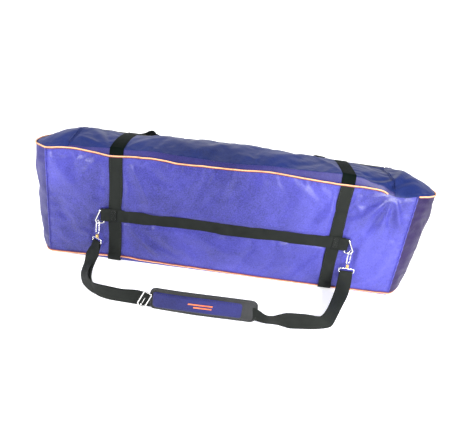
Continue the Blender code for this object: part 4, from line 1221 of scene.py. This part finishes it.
HOOK_ANGLE = math.radians(-55)
HOOK_LEAN = math.radians(-8)
RING_TILT = {"left": math.radians(8), "right": math.radians(2)}
RING_OPEN = math.radians(20)
RING_HALF_BAR = 0.024
RING_REACH = 0.029
CLAW_PLAY = 0.0025
EYE_BAR = -0.0574                     # the eye's lower bar under the hook's bow
EYE_TURN = {"left": math.radians(-40), "right": 0.0}
EYE_WIRE = 0.0018
EYE_LOOP_RADIUS = EYE_WIRE + WEB_THICK / 2 + 0.0005
SHOULDER_WIDTH = 0.0385


def ring_matrix(label):
    """Frame of one ring, as in the model: origin mid bar, +X towards the bow, Z along the bar."""
    side = -1 if label == "left" else 1
    place = Matrix.Translation((side * RING_BAR_X, RING_BAR_Y, RING_HEIGHT[label]))
    tilt = Matrix.Rotation(side * RING_TILT[label], 4, "Y")
    face = Matrix.Rotation(math.pi if side < 0 else 0.0, 4, "Z")
    return place @ tilt @ Matrix.Rotation(-side * RING_OPEN, 4, "Z") @ face


def hook_matrix(label):
    """Frame of one hook, as in the model: origin in its bow, -Z along the hook."""
    bow = Vector((RING_REACH * math.cos(HOOK_ANGLE), 0, RING_HALF_BAR * math.sin(HOOK_ANGLE)))
    origin = ring_matrix(label) @ bow - Vector((0, 0, CLAW_PLAY))
    return Matrix.Translation(origin) @ Matrix.Rotation(HOOK_LEAN, 4, "X")


def eye_loop(label, width):
    """Rows of centre and width of webbing round an eye's lower bar."""
    turned = hook_matrix(label) @ Matrix.Rotation(EYE_TURN[label], 4, "Z")
    bar = turned @ Vector((0, 0, EYE_BAR))
    along = (turned.to_3x3() @ Vector((1, 0, 0))).normalized() * width
    front = (turned.to_3x3() @ Vector((0, -1, 0))).normalized()
    up = (turned.to_3x3() @ Vector((0, 0, 1))).normalized()
    rows = []
    for angle in np.radians((-20, 30, 80, 130, 180)):
        centre = bar + EYE_LOOP_RADIUS * (math.cos(angle) * front + math.sin(angle) * up)
        rows.append((*centre, *along))
    return rows


def rounded_loop(corners, radius, steps=7):
    """Closed loop of straight sides with every corner rounded."""
    corners = [Vector(c) for c in corners]
    points = []
    for i, corner in enumerate(corners):
        to_last = (corners[i - 1] - corner).normalized()
        to_next = (corners[(i + 1) % len(corners)] - corner).normalized()
        half = to_last.angle(to_next) / 2
        middle = corner + (to_last + to_next).normalized() * radius / math.sin(half)
        start = (corner + to_last * radius / math.tan(half) - middle).normalized()
        end = (corner + to_next * radius / math.tan(half) - middle).normalized()
        for share in np.linspace(0, 1, steps):
            points.append(middle + radius * start.slerp(end, float(share)))
    return points


def make_rings():
    """Triangular rings of round wire, the straight side held in the cross strap."""
    for label in ("left", "right"):
        corners = ((0.0, 0.0, -0.0240), (0.0, 0.0, 0.0240), (0.0225, 0.0, -0.0140), (0.0175, 0.0, -0.0240))
        path = [ring_matrix(label) @ p for p in rounded_loop(corners, 0.0038)]
        even = []
        for a, b in zip(path, path[1:] + path[:1]):
            count = max(1, int((b - a).length / 0.002))
            even += [tuple(a.lerp(b, k / count)) for k in range(count)]
        ring = tube(label + "_triangle_ring", even, 0.0021, "nickel", label + "_ring", closed=True, sides=12)
        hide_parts(label + "_ring")


def rails(pairs, width):
    """Rows of centre and width from pairs of edge points, at one width."""
    rows = []
    for a, b in pairs:
        a, b = np.array(a), np.array(b)
        across = (b - a) / np.linalg.norm(b - a) * width
        rows.append((*((a + b) / 2), *across))
    return rows


def make_shoulder_webbing():
    """Left webbing, looped round its eye and back to the adjuster, and right webbing."""
    upper_first = [((-0.120, -0.3165, 0.0060), (-0.120, -0.3165, 0.0430)),
                   ((-0.158, -0.3135, 0.0040), (-0.155, -0.3130, 0.0410)),
                   ((-0.193, -0.3080, 0.0020), (-0.190, -0.3050, 0.0390)),
                   ((-0.230, -0.3060, 0.0020), (-0.224, -0.3090, 0.0380)),
                   ((-0.267, -0.3020, 0.0020), (-0.262, -0.3050, 0.0370)),
                   ((-0.300, -0.2900, 0.0020), (-0.2850, -0.2980, 0.0370)),
                   ((-0.326, -0.2660, 0.0030), (-0.3030, -0.2900, 0.0360)),
                   ((-0.345, -0.2420, 0.0060), (-0.3150, -0.2690, 0.0370)),
                   ((-0.358, -0.2130, 0.0130), (-0.3260, -0.2340, 0.0370)),
                   ((-0.361, -0.1830, 0.0260), (-0.3310, -0.2040, 0.0410)),
                   ((-0.364, -0.1570, 0.0440), (-0.3370, -0.1690, 0.0490))]
    main = rails(upper_first, SHOULDER_WIDTH)
    main += eye_loop("left", 0.034)
    under = rails([((-0.368, -0.1560, 0.0440), (-0.3420, -0.1600, 0.0490)),
                   ((-0.369, -0.1830, 0.0240), (-0.3400, -0.1960, 0.0380)),
                   ((-0.367, -0.2130, 0.0100), (-0.3400, -0.2260, 0.0320)),
                   ((-0.354, -0.2420, 0.0030), (-0.3290, -0.2580, 0.0310)),
                   ((-0.336, -0.2640, 0.0020), (-0.3120, -0.2790, 0.0310)),
                   ((-0.306, -0.2860, 0.0015), (-0.2900, -0.2930, 0.0350)),
                   ((-0.269, -0.2975, 0.0015), (-0.2640, -0.3000, 0.0365)),
                   ((-0.232, -0.3010, 0.0015), (-0.2270, -0.3045, 0.0370)),
                   ((-0.198, -0.3035, 0.0015), (-0.1940, -0.3015, 0.0375)),
                   ((-0.166, -0.3085, 0.0020), (-0.1630, -0.3080, 0.0385))], SHOULDER_WIDTH)
    path = smooth_path(main + under, 460)
    left = webbing("left_shoulder_webbing", path[:, :3], path[:, 3:], body="shoulder_strap")
    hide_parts("left_strap_webbing")
    first = [(0.070, -0.3190, 0.0280, 0.0, 0.0, -0.037), (0.104, -0.3200, 0.0250, 0.0, 0.002, -0.036),
             (0.1285, -0.3235, 0.0185, 0.001, 0.006, -0.029)]
    pairs = [((0.146, -0.3300, 0.0350), (0.160, -0.3170, 0.0025)),
             ((0.176, -0.3130, 0.0350), (0.190, -0.3230, 0.0020)),
             ((0.204, -0.3050, 0.0350), (0.222, -0.3215, 0.0020)),
             ((0.232, -0.3020, 0.0350), (0.254, -0.3170, 0.0020)),
             ((0.254, -0.3010, 0.0345), (0.288, -0.3090, 0.0030)),
             ((0.266, -0.2950, 0.0330), (0.303, -0.2980, 0.0050)),
             ((0.281, -0.2720, 0.0340), (0.319, -0.2680, 0.0080)),
             ((0.299, -0.2320, 0.0360), (0.339, -0.2270, 0.0140)),
             ((0.322, -0.1780, 0.0430), (0.3600, -0.1840, 0.0280)),
             ((0.333, -0.1450, 0.0550), (0.3710, -0.1530, 0.0450))]
    rows = first + rails(pairs, SHOULDER_WIDTH + 0.0015)
    rows += eye_loop("right", 0.0365)
    rows += rails([((0.334, -0.1400, 0.0500), (0.3720, -0.1480, 0.0400)),
                   ((0.326, -0.1700, 0.0400), (0.3630, -0.1760, 0.0260))], SHOULDER_WIDTH)
    path = smooth_path(rows, 460)
    right = webbing("right_shoulder_webbing", path[:, :3], path[:, 3:], body="shoulder_strap")
    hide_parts("right_strap_webbing")


def rounded_outline(width, height, radius, count):
    """Evenly spaced points round a rectangle with round corners."""
    x, z = width / 2 - radius, height / 2 - radius
    points = []
    for cx, cz, start in ((x, z, 0), (-x, z, 90), (-x, -z, 180), (x, -z, 270)):
        for a in np.radians(np.linspace(start, start + 90, 9)):
            points.append((cx + radius * math.cos(a), 0.0, cz + radius * math.sin(a)))
    points.append(points[0])
    points = np.array(points)
    length = run_length(points)
    at = np.linspace(0, length[-1], count, endpoint=False)
    return np.stack([np.interp(at, length, points[:, k]) for k in range(3)], 1)


def pad_bend(points):
    """The pad's gentle lean and curl, applied to points about its centre."""
    x = points[:, 0]
    points[:, 1] += 0.0045 * (x / 0.131) ** 2 - 0.0020 * np.sin(x * 14)
    points[:, 2] += 0.0015 * np.sin(x * 20) - 0.0016 * (x / 0.131) ** 2 + 0.0012
    return points


def cushion(name, width, height, radius, thick, centre, look, flat_back=0.35):
    """Crowned closed form with a rounded outline; thicker to the front than behind."""
    ring = rounded_outline(width, height, radius, 180)
    pull = 1 - 0.018 * np.cos(ring[:, 0] * math.pi / width) * (np.abs(ring[:, 2]) > height / 2 - radius)
    ring[:, 2] *= pull
    shares = np.sin(np.linspace(0.03, math.pi / 2, 15))
    rows = []
    for share in shares:
        row = ring * share
        row[:, 1] = -thick * (1 - share ** 5) ** 0.5
        rows.append(row)
    for share in shares[-2::-1]:
        row = ring * share
        row[:, 1] = thick * flat_back * (1 - share ** 6) ** 0.5
        rows.append(row)
    rows = np.array([pad_bend(row.copy()) for row in rows]) + np.array(centre)
    return capped(name, rows, look, "shoulder_strap")


def make_pad():
    centre = PAD_CENTRE
    size = (PAD_LENGTH - 0.004, PAD_HEIGHT - 0.003)
    body = cushion("pad_body", *size, 0.013, 0.0046, centre, "pad_binding", 0.8)
    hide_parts("shoulder_pad")
    rim = rounded_outline(PAD_LENGTH - 0.003, PAD_HEIGHT - 0.002, 0.0135, 220)
    rim = pad_bend(rim) + np.array(centre)
    rim[:, 2] = np.maximum(rim[:, 2], 0.0032)
    edge = tube("pad_edge_binding", rim, 0.0030, "pad_binding", "shoulder_strap", closed=True, sides=12)
    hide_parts("pad_binding")
    face_centre = centre + Vector((-0.0130, -0.0030, 0.0))
    size = (PAD_LENGTH - 0.040, PAD_HEIGHT - 0.0150)
    face = cushion("pad_face", *size, 0.008, 0.0042, face_centre, "pad_fabric", 0.2)
    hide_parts("pad_face_panel")
    seam = rounded_outline(PAD_LENGTH - 0.044, PAD_HEIGHT - 0.019, 0.007, 60)
    seam = pad_bend(seam)
    seam[:, 1] -= 0.0036
    seam = np.vstack([seam, seam[:1]]) + np.array(face_centre)
    stitches("pad_stitching", [(seam.tolist(), (0, -1, 0))], "shoulder_strap", "thread")
    for index, (dx, dz, length) in enumerate(((0.0, 0.0035, 0.060), (0.006, -0.0045, 0.044))):
        path = np.array([(x, 0.0, 0.0) for x in np.linspace(-length / 2, length / 2, 21)])
        path = pad_bend(path + np.array([0.0060 + dx, 0.0, dz]))
        path[:, 1] -= 0.0046
        path += np.array(face_centre)
        across = np.tile((0.0008, 0.0, 0.0034), (len(path), 1))
        webbing(f"pad_stripe_{index + 1}", path, across, 0.0008, "mark", "shoulder_strap")


def make_adjuster():
    """Three-bar slide, turned on the webbing as the strap lies."""
    centre = Vector((-0.1690, -0.3170, 0.0246))
    lean = Matrix.Translation(centre) @ Matrix.Rotation(math.radians(24), 4, "Y")
    outline = rounded_outline(0.0200, 0.0430, 0.0040, 72)
    path = np.array([lean @ Vector(p) for p in outline])
    rim = tube("adjuster_rim", path, 0.0016, "nickel", "adjuster", closed=True, sides=12)
    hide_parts("adjuster_frame")
    half = 0.0208
    bar = [lean @ Vector((0.0, 0.0070 * (1 - abs(z / half) ** 10) - 0.0002, z))
           for z in np.linspace(-half, half, 41)]
    middle = tube("adjuster_middle_bar", [tuple(p) for p in bar], 0.0013, "nickel", "adjuster")
    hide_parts("adjuster_bar")


# ---------------------------------------------------------------- carried-over nodes

def both(*parts):
    """Names of the left and the right node of each part."""
    return [f"{label}_{part}" for part in parts for label, _ in SIDES]


KEPT = {
    "nickel": both("swivel_eye", "hook_body", "hook_gate", "gate_spring"),
    "brass_barrel": both("hook_barrel"),
    "foam": ["front_foam", "back_foam"],
    "lining": ["lining_tub"],
    "board": ["bottom_board"],
}
EDGE_WIDTH = {"swivel_eye": 0, "hook_body": 0.0007, "hook_gate": 0.0005}


def finish_nodes():
    """Material, and rounder edges on the metal, for the frame nodes that stay in view."""
    for look, names in KEPT.items():
        for name in names:
            node = NODES[name]
            node.data.materials.clear()
            node.data.materials.append(LOOK[look])
    rounded = [(NODES[name], width) for part, width in EDGE_WIDTH.items() for name in both(part)]
    for node, width in rounded:
        weld = node.modifiers.new("Weld", "WELD")
        weld.merge_threshold = 0.00002
        if width:
            bevel = node.modifiers.new("Edges", "BEVEL")
            bevel.width = width
            bevel.segments = 2
            bevel.limit_method = "ANGLE"
        else:
            subdivide(node, 1)
        node.data.shade_smooth()


# ---------------------------------------------------------------- studio


# The camera was fitted to the photograph: a little above, nearly square on, and rolled.
CAMERA_PLACE = (0.0159, -1.1354, 0.6022)
CAMERA_TURN = (0.0343, 22.168, 7.594)  # yaw, pitch down and roll, in degrees
CAMERA_LENS = 31.034
SWEEP_Y = 1.6                          # where the floor starts to rise
SWEEP_RADIUS = 1.2


def make_camera():
    yaw, pitch, roll = (math.radians(angle) for angle in CAMERA_TURN)
    forward = Vector((math.sin(yaw) * math.cos(pitch), math.cos(yaw) * math.cos(pitch), -math.sin(pitch)))
    right = Vector((math.cos(yaw), -math.sin(yaw), 0.0))
    up = right.cross(forward)
    turned_right = right * math.cos(roll) + up * math.sin(roll)
    turned_up = up * math.cos(roll) - right * math.sin(roll)
    data = bpy.data.cameras.new("case_camera")
    data.sensor_width = 36.0
    data.lens = CAMERA_LENS
    data.clip_start = 0.01
    camera = bpy.data.objects.new("case_camera", data)
    bpy.context.scene.collection.objects.link(camera)
    axes = Matrix((turned_right, turned_up, -forward)).transposed().to_4x4()
    camera.matrix_world = Matrix.Translation(CAMERA_PLACE) @ axes
    bpy.context.scene.camera = camera


def make_stage():
    """Pale floor that sweeps up into a backdrop."""
    floor_rows = [(-4.0, 0.0), (-2.0, 0.0), (0.0, 0.0), (SWEEP_Y, 0.0)]
    for a in np.radians(np.linspace(5, 90, 12)):
        floor_rows.append((SWEEP_Y + SWEEP_RADIUS * math.sin(a), SWEEP_RADIUS - SWEEP_RADIUS * math.cos(a)))
    floor_rows.append((SWEEP_Y + SWEEP_RADIUS, 4.0))
    points = np.array([[(x, y, z) for x in np.linspace(-5, 5, 11)] for y, z in floor_rows])
    mesh = grid("studio_sweep", points)
    sweep = bpy.data.objects.new("studio_sweep", mesh)
    bpy.context.scene.collection.objects.link(sweep)
    n = Nodes("studio_paper", 0.85)
    paper = n.ramp(n.noise(6.0, 3.0), [(0.3, (0.86, 0.86, 0.87)), (0.7, (0.90, 0.90, 0.905))])
    n.link(paper, n.shader.inputs["Emission Color"])
    n.set("Emission Strength", 0.66)
    mesh.materials.append(n.finish(paper))
    mesh.shade_smooth()


def add_light(name, place, target, size, power):
    data = bpy.data.lights.new(name, "AREA")
    data.shape = "RECTANGLE"
    data.size, data.size_y = size
    data.energy = power
    light = bpy.data.objects.new(name, data)
    bpy.context.scene.collection.objects.link(light)
    light.location = place
    light.rotation_mode = "QUATERNION"
    light.rotation_quaternion = (Vector(target) - Vector(place)).to_track_quat("-Z", "Y")


def make_lights():
    add_light("left_softbox", (-1.30, -0.75, 0.80), (-0.45, -0.1, 0.18), (0.5, 0.5), 19.0)
    add_light("right_softbox", (0.95, -1.00, 0.85), (0.36, -0.1, 0.20), (0.5, 0.5), 28.0)
    add_light("front_softbox", (0.4, -2.6, 1.1), (0.1, 0.0, 0.15), (1.4, 0.8), 4.0)
    add_light("high_softbox", (-0.3, 0.5, 2.6), (0.0, 0.0, 0.2), (2.0, 1.2), 17.0)
    add_light("backdrop_light", (0.0, 1.4, 1.9), (0.0, 3.0, 1.0), (3.0, 0.6), 30.0)
    world = bpy.data.worlds.new("studio")
    world.use_nodes = True
    world.node_tree.nodes["Background"].inputs["Color"].default_value = (1.0, 1.0, 1.0, 1.0)
    world.node_tree.nodes["Background"].inputs["Strength"].default_value = 0.13
    bpy.context.scene.world = world
    bpy.context.scene.view_settings.view_transform = "Standard"


# ---------------------------------------------------------------- build

make_camera()
make_stage()
make_lights()
wall = make_walls()
seam_ridges(wall)
top = make_top()
make_bottom()
make_piping()
make_body_straps(top)
make_cross_strap()
make_zip(top)
make_slider()
make_handle()
make_rings()
make_shoulder_webbing()
make_pad()
make_adjuster()
finish_nodes()
